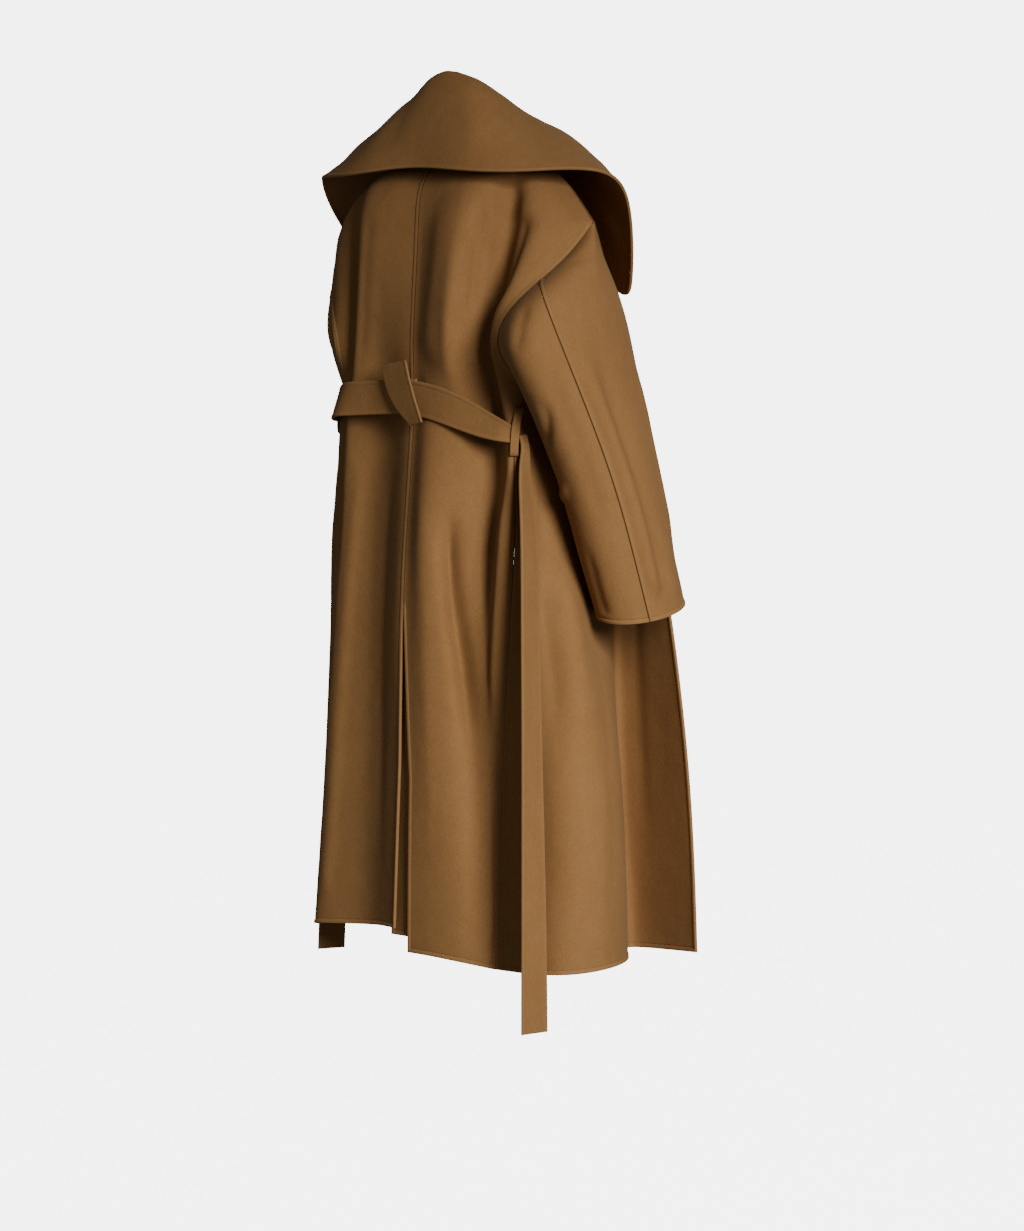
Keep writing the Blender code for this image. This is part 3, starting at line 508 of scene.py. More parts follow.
toVentTop, belowVentTop = between(-1, ventTop), between(ventTop, 99)
armBand = (between(shoulderPoint, underarm), cloth["armholeBand"])
bodyPieces = {
    "rightBack": {
        "net": backRight, "side": right, "seed": 11, "replaces": "back_right", "flat": (0.34, 1.48),
        "bands": {"first": belowVentTop, "last": armBand, "bottom": 1.0},
        "seams": {"first": toVentTop, "last": 1.0},
        "folds": [
            # deep fold from under the collar to the underarm, and the crest beside it
            crease(-18, 17, (4.05, 0.9), (4.0, 1.6), (4.0, 2.5), (4.1, 3.3), ends=(0.15, 0.3)),
            crease(-12, 19, (4.7, 1.7), (4.75, 2.3), (4.8, 3.0)),
            crease(-6, 8, (3.15, 1.5), (3.25, 2.3), (3.3, 3.1)),
            crease(7, 28, (1.2, 1.3), (1.2, 2.2), (1.1, 3.0), (1.1, 3.8)),
            # below the belt: two valleys that close into a drop beside the side fold
            crease(-21, 15, (2.35, 5.9), (2.4, 6.5), (2.6, 6.9), (2.9, 7.2), (3.25, 7.5), (3.5, 7.8),
                   (3.75, 8.3), ends=(0.2, 0.35)),
            crease(-11, 9, (3.95, 5.6), (3.95, 6.3), (4.0, 6.8), (4.0, 7.15), ends=(0.3, 0.4)),
            crease(2.5, 16, (1.2, 5.7), (1.3, 6.6), (1.35, 7.5), (1.3, 8.5)),
            crease(4, 11, (4.4, 7.6), (4.6, 8.2), (4.8, 8.9), ends=(0.4, 0.1)),
            rightRidge,
        ],
    },
    "leftBack": {
        "net": backLeft, "side": left, "seed": 12, "replaces": "back_left", "flat": (0.32, 1.40),
        "bands": {"first": 1.0, "last": armBand, "bottom": 1.0},
        "seams": {"first": toVentTop, "last": 1.0},
        "folds": [
            crease(-3.5, 13, (2.2, 1.4), (2.5, 2.2), (2.6, 3.0), (2.7, 3.8)),
            crease(-7, 12, (4.0, 1.4), (4.1, 2.2), (4.2, 3.0)),
            crease(-3, 8, (5.2, 4.2), (4.9, 4.7), (4.5, 5.0)),
            crease(-3.5, 14, (1.2, 5.5), (1.35, 6.6), (1.4, 7.6), (1.3, 8.7)),
            crease(3, 13, (2.5, 5.4), (2.6, 6.4), (2.8, 7.6), (2.9, 8.9), ends=(0.3, 0.05)),
            crease(-4, 10, (3.6, 5.8), (3.7, 6.8), (3.9, 8.0)),
            leftRidge,
        ],
    },
    "rightFront": {
        "net": frontRight, "side": right, "seed": 13, "replaces": "front_right", "flat": (0.69, 1.54),
        "bands": {"first": 1.0, "last": 1.0, "bottom": 1.0},
        "seams": {"first": 1.0},
        "folds": [
            crease(-20, 17, (7.7, 6.5), (7.8, 6.95), (7.82, 7.4), (7.75, 8.0), step=3.0, ends=(0.35, 0.4)),
            crease(-6, 14, (7.5, 5.4), (7.55, 6.0), (7.5, 6.8)),
            crease(-2.5, 18, (8.6, 7.1), (8.6, 7.9), (8.5, 8.8), ends=(0.4, 0.2)),
            crease(-3, 16, (10.5, 6.4), (10.45, 7.4), (10.5, 8.6)),
            crease(-5, 13, (7.6, 3.2), (8.4, 3.9), (9.2, 4.5)),
            crease(3.5, 10, (7.2, 4.6), (8.0, 4.9), (9.0, 5.0)),
            crease(-3.5, 11, (7.4, 5.3), (8.3, 5.25), (9.4, 5.35)),
            crease(3, 14, (9.6, 2.2), (9.8, 3.1), (10.0, 4.2)),
            rightRidge,
        ],
    },
    "leftFront": {
        "net": frontLeft, "side": left, "seed": 14, "replaces": "front_left", "flat": (0.42, 1.50),
        "bands": {"first": 1.0, "last": 1.0, "bottom": 1.0},
        "seams": {"first": 1.0},
        "folds": [
            crease(-4, 13, (6.8, 5.5), (6.9, 6.5), (7.0, 7.6), (7.1, 8.6), ends=(0.2, 0.3)),
            crease(4, 14, (7.7, 5.8), (7.9, 6.9), (8.0, 8.0), (8.1, 8.9), ends=(0.3, 0.1)),
            crease(-3, 15, (8.8, 6.3), (8.8, 7.3), (8.7, 8.4)),
            crease(-4.5, 12, (7.5, 3.3), (8.2, 3.8), (8.9, 4.3)),
            crease(3, 10, (7.1, 4.7), (7.9, 4.9), (8.8, 4.95)),
            crease(-3, 10, (7.4, 5.4), (8.1, 5.25), (9.2, 5.2)),
            crease(3, 13, (9.7, 2.0), (9.7, 3.0), (9.9, 4.0)),
            crease(-3.5, 15, (10.4, 6.2), (10.5, 7.4), (10.4, 8.7)),
            leftRidge,
        ],
    },
}

# sleeves: centre (out, back, height), half widths, rise of the outer side and of the front, slip, turn
rightSleeve = {
    "bicep":   (262, 98, -305, 50, 140, 75, 0, 0, 6),
    "elbow":   (276, 40, -470, 64, 108, 20, 10, 0, 15),
    "forearm": (288, 4, -600, 66, 98, 6, 15, 0, 19),
    "cuff":    (298, -31, -714, 64, 90, 0, 19, 0, 19),
}
leftSleeve = {
    "bicep":   (257, -52, -305, 44, 120, 75, 0, 34, 0),
    "elbow":   (258, -128, -455, 56, 104, 20, 12, 20, 4),
    "forearm": (260, -186, -570, 57, 96, 6, 18, 10, 6),
    "cuff":    (255, -236, -675, 56, 90, 0, 24, 0, 6),
}
sleeveSteps = (4, 4, 3, 3)
backSeam = 3                    # steps round from the shoulder point to the seam down the back


# one dense net round the whole sleeve: posts count the steps round, levels the rings
def sleeveNet(table, back, front, side):
    arm = (back[:, 0, 4] >= shoulderPoint) & (back[:, 0, 4] <= underarm)
    armhole = np.vstack([back[arm, -1, :3], front[arm, 0, :3][::-1][1:]])
    turn = np.linspace(0, 2 * math.pi, len(armhole))
    rings = [armhole]
    for out, rear, height, halfOut, halfBack, riseOut, riseFront, slip, turned in table.values():
        angle = turn - math.radians(slip) * (1 - np.cos(turn)) / 2
        outward, backward = halfOut * np.cos(angle), halfBack * np.sin(angle)
        cosine, sine = math.cos(math.radians(turned)), math.sin(math.radians(turned))
        rings.append(np.stack([(out + outward * cosine + backward * sine) * side,
                               rear + backward * cosine - outward * sine,
                               height + riseOut * np.cos(angle) - riseFront * np.sin(angle)], axis=1))
    rings = np.array(rings)
    along = spread(sleeveSteps, finer["rows"])
    net = np.stack([bspline(rings[:, i], along) for i in range(rings.shape[1])], axis=1)
    return withPlaces(net, np.linspace(0, 2 * armSteps, len(armhole)), along)


# top and under sleeve
def cutSleeve(net):
    seam, under, end = backSeam * finer["rows"], armSteps * finer["rows"], net.shape[1] - 1
    below = net[:, seam:under + 1]
    front, cap = net[:, under:end + 1], net[:, 1:seam + 1].copy()
    cap[..., 3] += 2 * armSteps
    return np.concatenate([front, cap], axis=1), below


# posts 10 to 20 run up the front of a sleeve and 20 to 23 over its cap, 3 to 10 down its back
sleeveFolds = {
    "rightTop": [
        crease(14, 16, (21.8, 1.2), (21.7, 1.9), (21.6, 2.6), (21.6, 3.3), (21.6, 3.8), step=2.4,
               ends=(0.25, 0.2)),
        crease(6, 15, (18.4, 1.3), (18.2, 2.3), (18.4, 3.5)),
        crease(-6, 12, (15.6, 1.1), (16.2, 1.8), (16.0, 2.6)),
        crease(-6, 10, (13.0, 1.7), (14.2, 1.95), (15.8, 2.1)),
        crease(4, 9, (12.4, 2.3), (13.8, 2.35), (15.0, 2.55)),
        crease(-4, 12, (13.6, 2.9), (14.4, 3.3), (14.5, 3.8)),
        crease(-2.5, 12, (21.6, 0.25), (20.6, 0.5), (19.6, 0.45)),
    ],
    "rightUnder": [
        crease(-3, 13, (4.2, 1.2), (4.3, 2.0), (4.4, 3.0)),
        crease(-4, 11, (3.8, 0.5), (4.6, 0.8), (5.8, 1.0)),
        crease(-5, 10, (5.0, 1.5), (6.2, 1.75), (7.6, 1.8)),
        crease(4, 9, (6.4, 2.2), (7.4, 2.4), (8.6, 2.3)),
        crease(-3.5, 11, (6.0, 2.9), (6.4, 3.4), (6.3, 3.9), ends=(0.4, 0.05)),
    ],
    "leftTop": [
        crease(-5.5, 16, (21.2, 0.7), (20.7, 1.5), (20.4, 2.3), (20.6, 3.3)),
        crease(3.5, 14, (22.4, 1.0), (22.3, 2.0), (22.2, 3.4)),
        crease(-5.5, 12, (16.0, 1.2), (16.4, 1.9), (16.2, 2.7)),
        crease(-6, 10, (12.6, 1.8), (14.0, 2.0), (15.6, 2.0)),
        crease(4, 9, (12.2, 2.4), (13.6, 2.5), (15.0, 2.4)),
        crease(3.5, 14, (18.4, 1.6), (18.0, 2.6), (18.2, 3.6)),
    ],
    "leftUnder": [
        crease(-4, 12, (4.4, 1.1), (4.6, 2.0), (4.5, 3.1)),
        crease(-4, 11, (3.8, 0.6), (5.0, 0.9), (6.4, 0.9)),
        crease(-4.5, 10, (5.4, 1.6), (6.8, 1.8), (8.2, 1.8)),
        crease(-3.5, 11, (5.6, 2.6), (6.2, 3.2), (6.0, 3.9), ends=(0.4, 0.05)),
    ],
}
for word, side, back, front, table, seed, underCut in (
        ("right", right, backRight, frontRight, rightSleeve, 21, (0.28, 0.62)),
        ("left", left, backLeft, frontLeft, leftSleeve, 25, (0.19, 0.59))):
    top, below = cutSleeve(sleeveNet(table, back, front, side))
    bodyPieces[f"{word}TopSleeve"] = {
        "net": top, "side": -side, "seed": seed, "replaces": f"sleeve_top_{word}", "flat": (0.53, 0.64),
        "bands": {"last": 1.0, "bottom": 1.0}, "seams": {"first": 1.0, "last": 1.0, "top": 1.0},
        "folds": sleeveFolds[f"{word}Top"],
    }
    bodyPieces[f"{word}UnderSleeve"] = {
        "net": below, "side": -side, "seed": seed + 1, "replaces": f"sleeve_under_{word}", "flat": underCut,
        "bands": {"bottom": 1.0}, "seams": {"first": 1.0, "last": 1.0, "top": 1.0},
        "folds": sleeveFolds[f"{word}Under"],
    }

# collar: roll, middle and edge of the fall at stations from the nape to each end
rightCollar = {
    "nape":           ((0, 98, 134),    (0, 136, 62),      (0, 165, -27)),
    "back quarter":   ((50, 88, 124),   (90, 132, 55),     (110, 176, -40)),
    "shoulder back":  ((90, 52, 90),    (148, 88, 34),     (205, 142, -45)),
    "shoulder":       ((98, 15, 66),    (182, 28, 20),     (284, 45, -40)),
    "front shoulder": ((92, -35, 50),   (186, -38, -2),    (280, -25, -90)),
    "lobe":           ((80, -90, 0),    (160, -95, -62),   (232, -95, -190)),
    "tip":            ((74, -128, -60), (130, -140, -120), (203, -120, -222)),
    "end":            ((74, -150, -105), (106, -160, -150), (152, -150, -205)),
}
leftCollar = {
    "nape":           rightCollar["nape"],
    "back quarter":   ((55, 88, 96),    (92, 132, 40),     (110, 176, -33)),
    "shoulder back":  ((90, 52, 86),    (150, 88, 34),     (205, 136, -30)),
    "shoulder":       ((98, 15, 70),    (190, 28, 22),     (300, 45, -22)),
    "front shoulder": ((92, -35, 48),   (200, -38, -2),    (316, 0, -75)),
    "lobe":           ((80, -90, 0),    (175, -95, -62),   (280, -84, -185)),
    "tip":            ((74, -128, -60), (136, -142, -120), (215, -130, -222)),
    "end":            rightCollar["end"],
}
collarSteps = (12, 12, 14, 14)
backStations, frontStations = 3, 4      # from the nape to the shoulder, and on to the end
standBow = (0.04, 0.04, 0)


def collarNet():
    halfAt = np.concatenate([backRight[0, :, 3] * backStations / backPosts,
                             backStations + (frontRight[0, 1:, 3] - backPosts) * frontStations / frontPosts])
    halfRight = np.vstack([backRight[0, :, :3], frontRight[0, 1:, :3]])
    halfLeft = np.vstack([backLeft[0, :, :3], frontLeft[0, 1:, :3]])
    neckline = np.vstack([halfLeft[::-1], halfRight[1:]])
    at = np.concatenate([-halfAt[::-1], halfAt[1:]])
    stations = np.concatenate([np.array(list(leftCollar.values()), float)[::-1] * [left, 1, 1],
                               np.array(list(rightCollar.values()), float)[1:] * [right, 1, 1]])
    lines = [bspline(stations[:, i], at + len(leftCollar) - 1) for i in range(3)]
    rows = []
    for foot, roll, middle, edge in zip(neckline, *lines):
        stand = (foot + roll) / 2 + (foot - roll) * np.array(standBow)
        rows.append(bspline([foot, stand, roll, middle, edge], spread(collarSteps)))
    return withPlaces(np.array(rows), spread(collarSteps), at)


bodyPieces["shawlCollar"] = {
    "net": collarNet(), "side": right, "seed": 31, "replaces": "collar", "flat": (0.34, 1.39), "cell": 4.5,
    "bands": {"last": 1.0, "top": 1.0, "bottom": 1.0}, "seams": {"first": 1.0},
    "folds": [
        # posts run from the neckline over the roll to the edge, levels from the left front end to the right
        crease(-5, 26, (1.8, -2.4), (2.8, -2.2), (3.8, -1.9)),
        crease(3.5, 24, (1.9, -0.7), (2.8, -0.6), (3.7, -0.55)),
        crease(-3.5, 26, (2.0, 0.9), (2.9, 1.1), (3.8, 1.2)),
        crease(3.5, 24, (2.1, 2.1), (3.0, 2.3), (3.9, 2.35)),
        crease(-4, 22, (2.4, 3.3), (3.2, 3.5), (3.9, 3.5)),
        crease(3, 20, (2.6, 4.7), (3.2, 4.9), (3.8, 5.0)),
        crease(4, 24, (2.2, -3.6), (3.1, -3.9), (3.9, -4.0)),
        crease(-3.5, 20, (2.6, -5.0), (3.3, -5.2), (3.9, -5.2)),
    ],
}

# vent underlap: (x, y) at its left edge, middle and right edge, and the height
underlapRows = {
    "top":      ((26, 167.5),      (-10, 177.0),     (-44, 181.0),     -676),
    "hip":      ((26, 170.5),      (-10, 179.5),     (-46, 185.0),     -760),
    "knee":     ((27, 175.7),      (-10, 183.0),     (-48, 187.0),     -980),
    "hem":      ((30, 177.5),      (-8, 182.5),      (-44, 185.0),     -1222),
}
underlapSteps = {"across": (8, 8), "down": (20, 40, 40)}


def underlapNet():
    rows = np.array([[(*place, height) for place in places]
                     for *places, height in underlapRows.values()], float)
    acrossAt, downAt = spread(underlapSteps["across"]), spread(underlapSteps["down"])
    across = np.stack([bspline(row, acrossAt) for row in rows])
    down = np.stack([bspline(across[:, i], downAt) for i in range(across.shape[1])], axis=1)
    return withPlaces(down, acrossAt, downAt)


bodyPieces["ventUnderlap"] = {
    "net": underlapNet(), "side": right, "seed": 41, "replaces": "vent_underlap", "flat": (0.08, 0.55),
    "bands": {"first": 1.0, "bottom": 1.0}, "folds": [],
}

# belt: x, y, height of the middle line, the way the face looks in plan, how far it looks up, width
straps = {
    "leftRun": (
        (-14, 169.5, -384, 92, 0, 54),
        (30, 169.0, -384, 90, 0, 54),
        (90, 167.5, -385, 88, 0, 54),
        (132, 168.0, -386, 80, 5, 54),
        (158, 160.0, -388, 48, 16, 54),
        (179, 142.0, -392, 32, 14, 54),
        (198, 119.0, -397, 28, 12, 48),
        (207, 97.5, -403, 18, 13, 38),
        (209.5, 85.5, -405, 12, 10, 38),
    ),
    "rightRun": (
        (6, 173.8, -384, 88, 0, 54),
        (-36, 175.0, -391, 92, 0, 54),
        (-72, 176.0, -400, 96, 0, 53),
        (-108, 171.0, -413, 102, 4, 50),
        (-146, 165.0, -429, 106, 10, 42),
        (-177, 162.2, -439, 116, 8, 34),
        (-193, 153.0, -445, 132, 5, 26),
        (-197.5, 146.5, -447, 142, 0, 28),
    ),
    "rightTail": (
        (-202.25, 140.4, -445, 142, 0, 14),
        (-207.5, 139.5, -466, 168, 0, 16),
        (-211, 146, -494, 190, 0, 30),
        (-218, 152, -534, 193, 0, 44),
        (-238, 167, -620, 191, 0, 54),
        (-246, 175, -740, 189, 0, 54),
        (-253, 181, -880, 187, 0, 54),
        (-259, 186, -1010, 183, 0, 54),
        (-266, 192, -1150, 178, 0, 54),
        (-271, 197, -1270, 175, 0, 54),
        (-273, 199, -1341, 174, 0, 54),
    ),
    "leftTail": (
        (211.6, 76.2, -404, 12, 0, 18),
        (219, 69, -436, 2, 0, 30),
        (235, 56, -520, -6, 0, 50),
        (248, 46, -660, -8, 0, 54),
        (261, 42, -860, -9, 0, 54),
        (269.5, 46, -1080, -10, 0, 54),
        (273, 53, -1281, -10, 0, 54),
    ),
}
beltCuts = {
    #              node, flat width and length, how it is held, what carries it
    "leftRun":   ("belt_left_run", (0.055, 0.275), "stretched", "back_left"),
    "rightRun":  ("belt_right_run", (0.054, 0.225), "stretched", "back_right"),
    "rightTail": ("belt_tail_right", (0.055, 0.91), "hung", "belt_loop_right"),
    "leftTail":  ("belt_tail_left", (0.055, 0.89), "hung", "belt_loop_left"),
    "beltWrap":  ("belt_knot", (0.062, 0.137), "folded", "belt_left_run"),
}
strapDetail = {"along": 16, "across": 14, "thickness": 4.0, "cell": 4.0, "seed": 51, "wave": 0.35,
               "roundness": 1.8, "edgeRows": (0, 0.2, 0.7, 1.4, 2.6, 4.4, 6.2, 7.1, 8.4, 11.0)}


def strapNet(table):
    rows = np.array(table, float)
    at = spread((strapDetail["along"],) * (len(rows) - 1))
    line = bspline(rows[:, :3], at)
    turn, lean, width = bspline(rows[:, 3:], at).T
    turn, lean = np.radians(turn), np.radians(lean)
    flat = np.stack([np.cos(turn), np.sin(turn), np.zeros_like(turn)], axis=1)
    run = np.gradient(line, axis=0)
    run /= np.linalg.norm(run, axis=1, keepdims=True)
    across = np.cross(run, flat)
    across /= np.linalg.norm(across, axis=1, keepdims=True)
    if np.sum(across[:, 2]) < 0:
        across, run = -across, -run
    facing = np.cross(across, run)
    facing = facing * np.cos(lean)[:, None] + across * np.sin(lean)[:, None]
    across = np.cross(run, facing)
    places = np.linspace(-1, 1, strapDetail["across"] + 1)
    net = np.stack([line + across * width[:, None] / 2 * place for place in places], axis=1)
    flip = np.sum(facingOf(net)[:, 1] * facing) < 0
    return withPlaces(net, places, at), flip


wrapLine = (
    # x, y, height, width
    (22, 176.5, -351.5, 42),
    (25, 177.5, -341.0, 46),
    (21, 182.0, -333.0, 58),
    (16, 187.3, -341.0, 62),
    (4, 188.0, -376.0, 60),
    (-12, 188.0, -404.0, 48),
    (-23, 187.5, -419.0, 36),
    (-27, 185.6, -427.5, 31),
)
wrap = {"across": (-0.972, 0.170, 0.160), "thickness": 3.0, "seed": 55, "wave": 0.3}


def wrapNet():
    at = spread((strapDetail["along"],) * (len(wrapLine) - 1))
    rows = np.array(wrapLine, float)
    line, width = bspline(rows[:, :3], at), np.interp(at, np.arange(len(rows)), rows[:, 3])
    places = np.linspace(-1, 1, strapDetail["across"] + 1)
    net = line[:, None] + places[None, :, None] * np.array(wrap["across"]) * width[:, None, None] / 2
    return withPlaces(net, places, at)


loops = {"right": (-441, 134), "left": (-404, 18)}      # height on the side seam, facing in plan
loopSize = {"cloth": 3.0, "width": 13.0, "halfHeight": 37.0, "stand": 12.5, "gap": 0.3, "along": 61,
            "across": 9, "edgeRows": strapDetail["edgeRows"][:7], "cell": 2.5, "seed": 57, "wave": 0.1,
            "flat": (0.014, 0.084)}


def loopNet(seamLine, height, turn):
    angle = np.linspace(-math.pi / 2, math.pi / 2, loopSize["along"])
    at = height + (loopSize["halfHeight"] - loopSize["cloth"] / 2) * np.sin(angle)
    out = np.array([math.cos(math.radians(turn)), math.sin(math.radians(turn)), 0])
    sideways = np.array([-out[1], out[0], 0])
    foot = cloth["thickness"] / 2 + loopSize["cloth"] / 2 + loopSize["gap"]
    stand = foot + (loopSize["stand"] - foot) * np.cos(angle) ** 0.5
    rising = seamLine[::-1].T
    middle = np.stack([np.interp(at, rising[2], rising[0]), np.interp(at, rising[2], rising[1]), at], axis=1)
    middle += stand[:, None] * out
    places = np.linspace(-1, 1, loopSize["across"])
    net = middle[:, None] + places[None, :, None] * sideways * loopSize["width"] / 2
    flip = np.sum(facingOf(net) * out) < 0
    return withPlaces(net, places, angle), flip


# materials
# a node's socket that takes part in ordinary arithmetic
class Value:
    def __init__(self, tree, socket):
        self.tree, self.socket = tree, socket

    def maths(self, operation, *others):
        return self.tree.node("ShaderNodeMath", {"operation": operation}, *([self] + list(others)))

    def __add__(self, other):
        return self.maths("ADD", other)

    def __sub__(self, other):
        return self.maths("SUBTRACT", other)

    def __mul__(self, other):
        return self.maths("MULTIPLY", other)

    __radd__, __rmul__ = __add__, __mul__


# a node tree that is written as calls and expressions
class Tree:
    def __init__(self, tree):
        self.nodes, self.links = tree.nodes, tree.links

    def node(self, kind, settings, *values, output=0, **named):
        made = self.nodes.new(kind)
        for key, value in settings.items():
            if key == "stops":
                ramp = made.color_ramp
                while len(ramp.elements) < len(value):
                    ramp.elements.new(0.5)
                for element, (place, colour) in zip(ramp.elements, value):
                    element.position = place
                    element.color = (*colour, 1)
            else:
                setattr(made, key, value)
        for key, value in list(enumerate(values)) + list(named.items()):
            self.put(made.inputs[key if isinstance(key, int) else key.replace("_", " ")], value)
        return Value(self, made.outputs[output])

    def put(self, socket, value):
        if isinstance(value, Value):
            self.links.new(value.socket, socket)
        else:
            socket.default_value = value


class Finish(Tree):
    def __init__(self, name):
        self.material = bpy.data.materials.new(name)
        self.material.use_nodes = True
        super().__init__(self.material.node_tree)
        self.shader = self.nodes["Principled BSDF"]

    def set(self, **named):
        for key, value in named.items():
            self.put(self.shader.inputs[key.replace("_", " ")], value)


woolColours = {
    #                           shade                     body                      nap, also the painted highlight on edges
    "coating": ((0.212, 0.100, 0.031), (0.262, 0.131, 0.046), (0.322, 0.176, 0.071)),
    "belting": ((0.212, 0.100, 0.031), (0.258, 0.129, 0.045), (0.322, 0.176, 0.071)),
    # near-black brown mixed in along seam lines as painted shade
    "groove": (0.045, 0.019, 0.006),
    "thread": (0.30, 0.165, 0.062),
}
woolNoise = {
    #          scale, detail, roughness
    "grain": (1500.0, 3.0, 0.6),
    "tuft":  (420.0, 4.0, 0.62),
    "patch": (55.0, 4.0, 0.6),
    "cloud": (7.0, 3.0, 0.5),
}

# edges lighten partly as rubbed nap, partly as a painted highlight; seam lines darken with painted shade
woolLook = {"darker": 0.08, "wearAndSheenLift": 0.32, "sunken": 0.62, "bump": 0.30, "napDepth": 0.0012,
            "roughness": 0.80, "roughGrain": 0.14, "sheen": 0.10, "sheenRoughness": 0.4,
            "sheenTint": (0.9, 0.66, 0.42, 1), "specular": 0.10, "lie": (1.0, 1.0, 0.55)}


# brushed double-faced wool: fine felted grain, tufts of nap, slow patches of lean, edges lighter from rubbed
# nap and a painted highlight, seam lines darker with painted shade
def woolFinish(name, colours):
    shade, body, napAndSheen = colours
    finish = Finish(name)
    place = finish.node("ShaderNodeTexCoord", {}, output=3)
    lying = finish.node("ShaderNodeMapping", {}, place, Scale=woolLook["lie"])

    def noise(layer, where):
        scale, detail, roughness = woolNoise[layer]
        return finish.node("ShaderNodeTexNoise", {}, Vector=where, Scale=scale, Detail=detail,
                           Roughness=roughness)

    def blend(share, first, second):
        made = finish.node("ShaderNodeMix", {"data_type": "RGBA"}, share, output=2)
        for socket, value in zip(made.socket.node.inputs[6:8], (first, second)):
            finish.put(socket, value)
        return made

    grain, cloud = noise("grain", place), noise("cloud", place)
    tuft, patch = noise("tuft", lying), noise("patch", lying)
    rub = finish.node("ShaderNodeAttribute", {"attribute_name": "rub"}, output=2)
    sunken = finish.node("ShaderNodeAttribute", {"attribute_name": "sunken"}, output=2)
    tone = grain * 0.34 + tuft * 0.46 + patch * 0.20 + cloud * 0.16 - woolLook["darker"]
    base = finish.node("ShaderNodeValToRGB", {"stops": ((0.28, shade), (0.5, body), (0.76, napAndSheen))}, tone)
    # edges and bands lightened toward the nap colour: rubbed nap and a painted highlight
    light = blend(rub * woolLook["wearAndSheenLift"], base, (*napAndSheen, 1))
    # seam lines darkened toward the groove colour: painted shade
    dark = blend(sunken * woolLook["sunken"], light, (*woolColours["groove"], 1))
    height = grain * 0.45 + tuft * 0.8 + patch * 0.5
    felt = finish.node("ShaderNodeBump", {}, Strength=woolLook["bump"], Distance=woolLook["napDepth"],
                       Height=height)
    finish.set(Base_Color=dark, Roughness=woolLook["roughness"] + woolLook["roughGrain"] * grain, Normal=felt,
               Metallic=0.0, Specular_IOR_Level=woolLook["specular"], Sheen_Weight=woolLook["sheen"],
               Sheen_Roughness=woolLook["sheenRoughness"], Sheen_Tint=woolLook["sheenTint"])
    return finish.material


coating = woolFinish("camelCoating", woolColours["coating"])
belting = woolFinish("camelBelting", woolColours["belting"])


def finishPiece(piece, material, node):
    piece.data.materials.append(material)
    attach(piece, "root")
    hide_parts(node)


def declareCut(piece, flat, held, carrier):
    width, length = flat
    min(flatArea(piece), width * length)


for name, work in bodyPieces.items():
    piece = clothPiece(name, work["net"], work["side"] == left, work["bands"], work["folds"],
                       work.get("seams", {}), seed=work["seed"], cell=work.get("cell", cloth["cell"]))
    finishPiece(piece, coating, work["replaces"])
    declareCut(piece, work["flat"], "hung", "collar" if name != "shawlCollar" else "back_left")
print("coat panels, sleeves, collar and underlap made")


def beltPiece(name, net, flip, bands, shape):
    piece = clothPiece(name, net, flip, bands, thickness=shape["thickness"], seed=shape["seed"],
                       wave=shape["wave"], cell=strapDetail["cell"], roundness=strapDetail["roundness"],
                       edgeRows=strapDetail["edgeRows"])
    node, *cut = beltCuts[name]
    finishPiece(piece, belting, node)
    declareCut(piece, *cut)


for name, table in straps.items():
    beltPiece(name, *strapNet(table), {"first": 0.5, "last": 0.5}, strapDetail)
beltPiece("beltWrap", wrapNet(), False, {"last": 0.3}, wrap)
for word, back in (("right", backRight), ("left", backLeft)):
    seamLine = back[back[:, 0, 4] >= underarm, -1, :3]
    net, flip = loopNet(seamLine, *loops[word])
    piece = clothPiece(f"{word}Loop", net, flip, {}, thickness=loopSize["cloth"], cell=loopSize["cell"],
                       seed=loopSize["seed"], wave=loopSize["wave"], edgeRows=loopSize["edgeRows"])
    finishPiece(piece, belting, f"belt_loop_{word}")
    declareCut(piece, loopSize["flat"], "stretched", f"back_{word}")
print("belt and loops made")

# pick stitches that hold the collar's rolled edge near its right end
pickStitches = {"firstLevel": 4.72, "lastLevel": 5.22, "count": 4, "inFromEdge": (1.2, 8.2),
                "radius": 0.0005, "jitter": 0.0005, "sides": 10, "seed": 3}


def stitchTree():
    group = bpy.data.node_groups.new("pickStitches", "GeometryNodeTree")
    sockets = {"Places": "Geometry", "Length": "Float", "Radius": "Float", "Jitter": "Float", "Seed": "Int",
               "Thread": "Material"}
    for name, kind in sockets.items():
        group.interface.new_socket(name, in_out="INPUT", socket_type="NodeSocket" + kind)
    group.interface.new_socket("Stitches", in_out="OUTPUT", socket_type="NodeSocketGeometry")
    tree = Tree(group)
    given = {socket.name: Value(tree, socket) for socket in tree.nodes.new("NodeGroupInput").outputs}
    low, high = (tree.node("ShaderNodeVectorMath", {"operation": "SCALE"}, (sign, sign, sign),
                           Scale=given["Jitter"]) for sign in (-1, 1))
    wander = tree.node("FunctionNodeRandomValue", {"data_type": "FLOAT_VECTOR"}, Min=low, Max=high,
                       Seed=given["Seed"])
    moved = tree.node("GeometryNodeSetPosition", {}, Geometry=given["Places"], Offset=wander)
    way = tree.node("GeometryNodeInputNamedAttribute", {"data_type": "FLOAT_VECTOR"}, Name="stitchWay")
    turn = tree.node("FunctionNodeAlignRotationToVector", {"axis": "Z"}, Vector=way)
    stitch = tree.node("GeometryNodeMeshCylinder", {}, Vertices=pickStitches["sides"],
                       Radius=given["Radius"], Depth=given["Length"])
    copies = tree.node("GeometryNodeInstanceOnPoints", {}, Points=moved, Instance=stitch, Rotation=turn)
    real = tree.node("GeometryNodeRealizeInstances", {}, copies)
    thread = tree.node("GeometryNodeSetMaterial", {}, Geometry=real, Material=given["Thread"])
    tree.put(tree.nodes.new("NodeGroupOutput").inputs["Stitches"], thread)
    return group


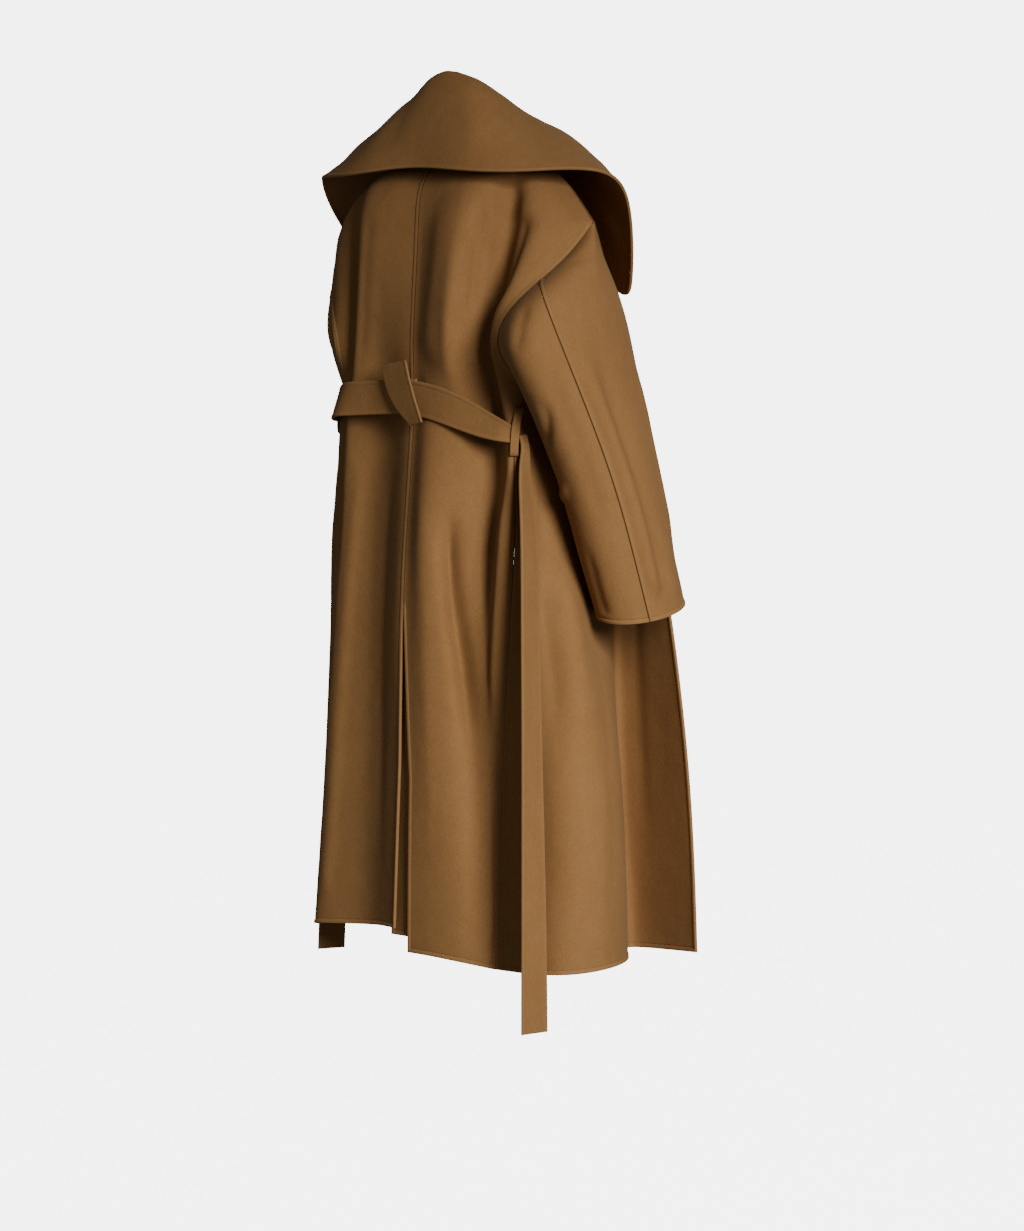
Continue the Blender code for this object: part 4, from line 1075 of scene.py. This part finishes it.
def makeStitches():
    net = bodyPieces["shawlCollar"]["net"]
    facing = facingOf(net[..., :3])
    reach = arcLength(net)
    near, far = pickStitches["inFromEdge"]
    outward = (cloth["thickness"] / 2 + cloth["bandHeight"]) * mm
    levels = np.linspace(pickStitches["firstLevel"], pickStitches["lastLevel"], pickStitches["count"])
    places, ways = [], []
    for level in levels:
        row = int(np.argmin(np.abs(net[:, 0, 4] - level)))
        fromEdge = reach[row, -1] - reach[row]
        ends = [np.array([np.interp(-inward, -fromEdge, net[row, :, k]) for k in range(3)])
                for inward in (near, far)]
        places.append((ends[0] + ends[1]) / 2 * mm + facing[row, -6] * outward)
        ways.append((ends[0] - ends[1]) / np.linalg.norm(ends[0] - ends[1]))
    spots = bpy.data.meshes.new("stitchSpots")
    spots.from_pydata([tuple(place) for place in places], [], [])
    way = spots.attributes.new("stitchWay", "FLOAT_VECTOR", "POINT")
    way.data.foreach_set("vector", np.array(ways, np.float32).reshape(-1))
    carrier = addObject("collarStitches", spots)
    modifier = carrier.modifiers.new("stitches", "NODES")
    modifier.node_group = stitchTree()
    wanted = {"Length": (far - near) * mm, "Radius": pickStitches["radius"], "Jitter": pickStitches["jitter"],
              "Seed": pickStitches["seed"], "Thread": thread}
    for item in modifier.node_group.interface.items_tree:
        if item.name in wanted:
            modifier[item.identifier] = wanted[item.name]
    plain = bpy.data.meshes.new_from_object(carrier.evaluated_get(bpy.context.evaluated_depsgraph_get()))
    carrier.modifiers.remove(modifier)
    carrier.data = plain
    carrier.data.shade_smooth()
    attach(carrier, "root")
    print("collarStitches:", len(plain.polygons), "faces")


threadFinish = Finish("camelThread")
threadFinish.set(Base_Color=(*woolColours["thread"], 1), Roughness=0.7, Metallic=0.0)
thread = threadFinish.material
makeStitches()

# pale round room, lights and camera
room = {"floorHeight": -1.5, "radius": 30.0, "wallHeight": 30.0, "sides": 96, "grey": 0.30, "glow": 5.5,
        "worldLight": 0.125}


def roomPart(name, points, faces, castsShadow):
    mesh = bpy.data.meshes.new(name)
    mesh.from_pydata(points, [], faces)
    mesh.materials.append(pale.material)
    part = addObject(name, mesh)
    part.visible_diffuse = False
    part.visible_glossy = False
    part.visible_shadow = castsShadow


pale = Finish("paleFloor")
pale.set(Base_Color=(room["grey"], room["grey"], room["grey"], 1), Roughness=0.9)
pale.set(Emission_Color=(1, 1, 1, 1), Emission_Strength=room["glow"])
pale.material.cycles.emission_sampling = "NONE"
sides = room["sides"]
angles = [2 * math.pi * k / sides for k in range(sides)]
corners = [(room["radius"] * math.cos(angle), room["radius"] * math.sin(angle)) for angle in angles]
low, high = room["floorHeight"], room["floorHeight"] + room["wallHeight"]
roomPart("studioFloor", [(x, y, low) for x, y in corners], [tuple(range(sides))], True)
roomPart("studioWall", [(x, y, z) for z in (low, high) for x, y in corners],
         [(k, (k + 1) % sides, (k + 1) % sides + sides, k + sides) for k in range(sides)], False)

cameraSet = {"azimuth": 220.0, "distance": 5.2, "height": -0.5, "focal": 95.33, "sensor": 36,
             "shiftX": 0.026, "shiftY": -0.1174}
lightSet = {
    #          azimuth, elevation, distance, size, watts, spread, height it is aimed at
    "key":   (243, 22, 4.2, 1.3, 27, 64, -1.25),
    "wide":  (165, -6, 3.6, 2.0, 2.2, 180, -0.5),
    "front": (20, 30, 4.5, 3.0, 40, 180, -0.85),
}


def direction(azimuth, elevation=0.0):
    turn, rise = math.radians(azimuth), math.radians(elevation)
    return Vector((math.sin(turn) * math.cos(rise), -math.cos(turn) * math.cos(rise), math.sin(rise)))


camera = addObject("camera", bpy.data.cameras.new("camera"))
camera.data.lens = cameraSet["focal"]
camera.data.sensor_width = cameraSet["sensor"]
camera.data.shift_x, camera.data.shift_y = cameraSet["shiftX"], cameraSet["shiftY"]
camera.location = direction(cameraSet["azimuth"]) * cameraSet["distance"]
camera.location.z = cameraSet["height"]
camera.rotation_euler = (math.radians(90), 0, math.radians(cameraSet["azimuth"]))
bpy.context.scene.camera = camera

for name, (azimuth, elevation, distance, size, watts, fan, aim) in lightSet.items():
    middle = Vector((0, 0, aim))
    lamp = bpy.data.lights.new(name, "AREA")
    lamp.size, lamp.energy, lamp.spread = size, watts, math.radians(fan)
    light = addObject(name, lamp)
    light.location = middle + direction(azimuth, elevation) * distance
    light.rotation_euler = (light.location - middle).to_track_quat("Z", "Y").to_euler()
world = bpy.data.worlds.new("studio")
world.use_nodes = True
background = world.node_tree.nodes["Background"].inputs
background["Color"].default_value = (1, 1, 1, 1)
background["Strength"].default_value = room["worldLight"]
bpy.context.scene.world = world
print("stage and lights set")
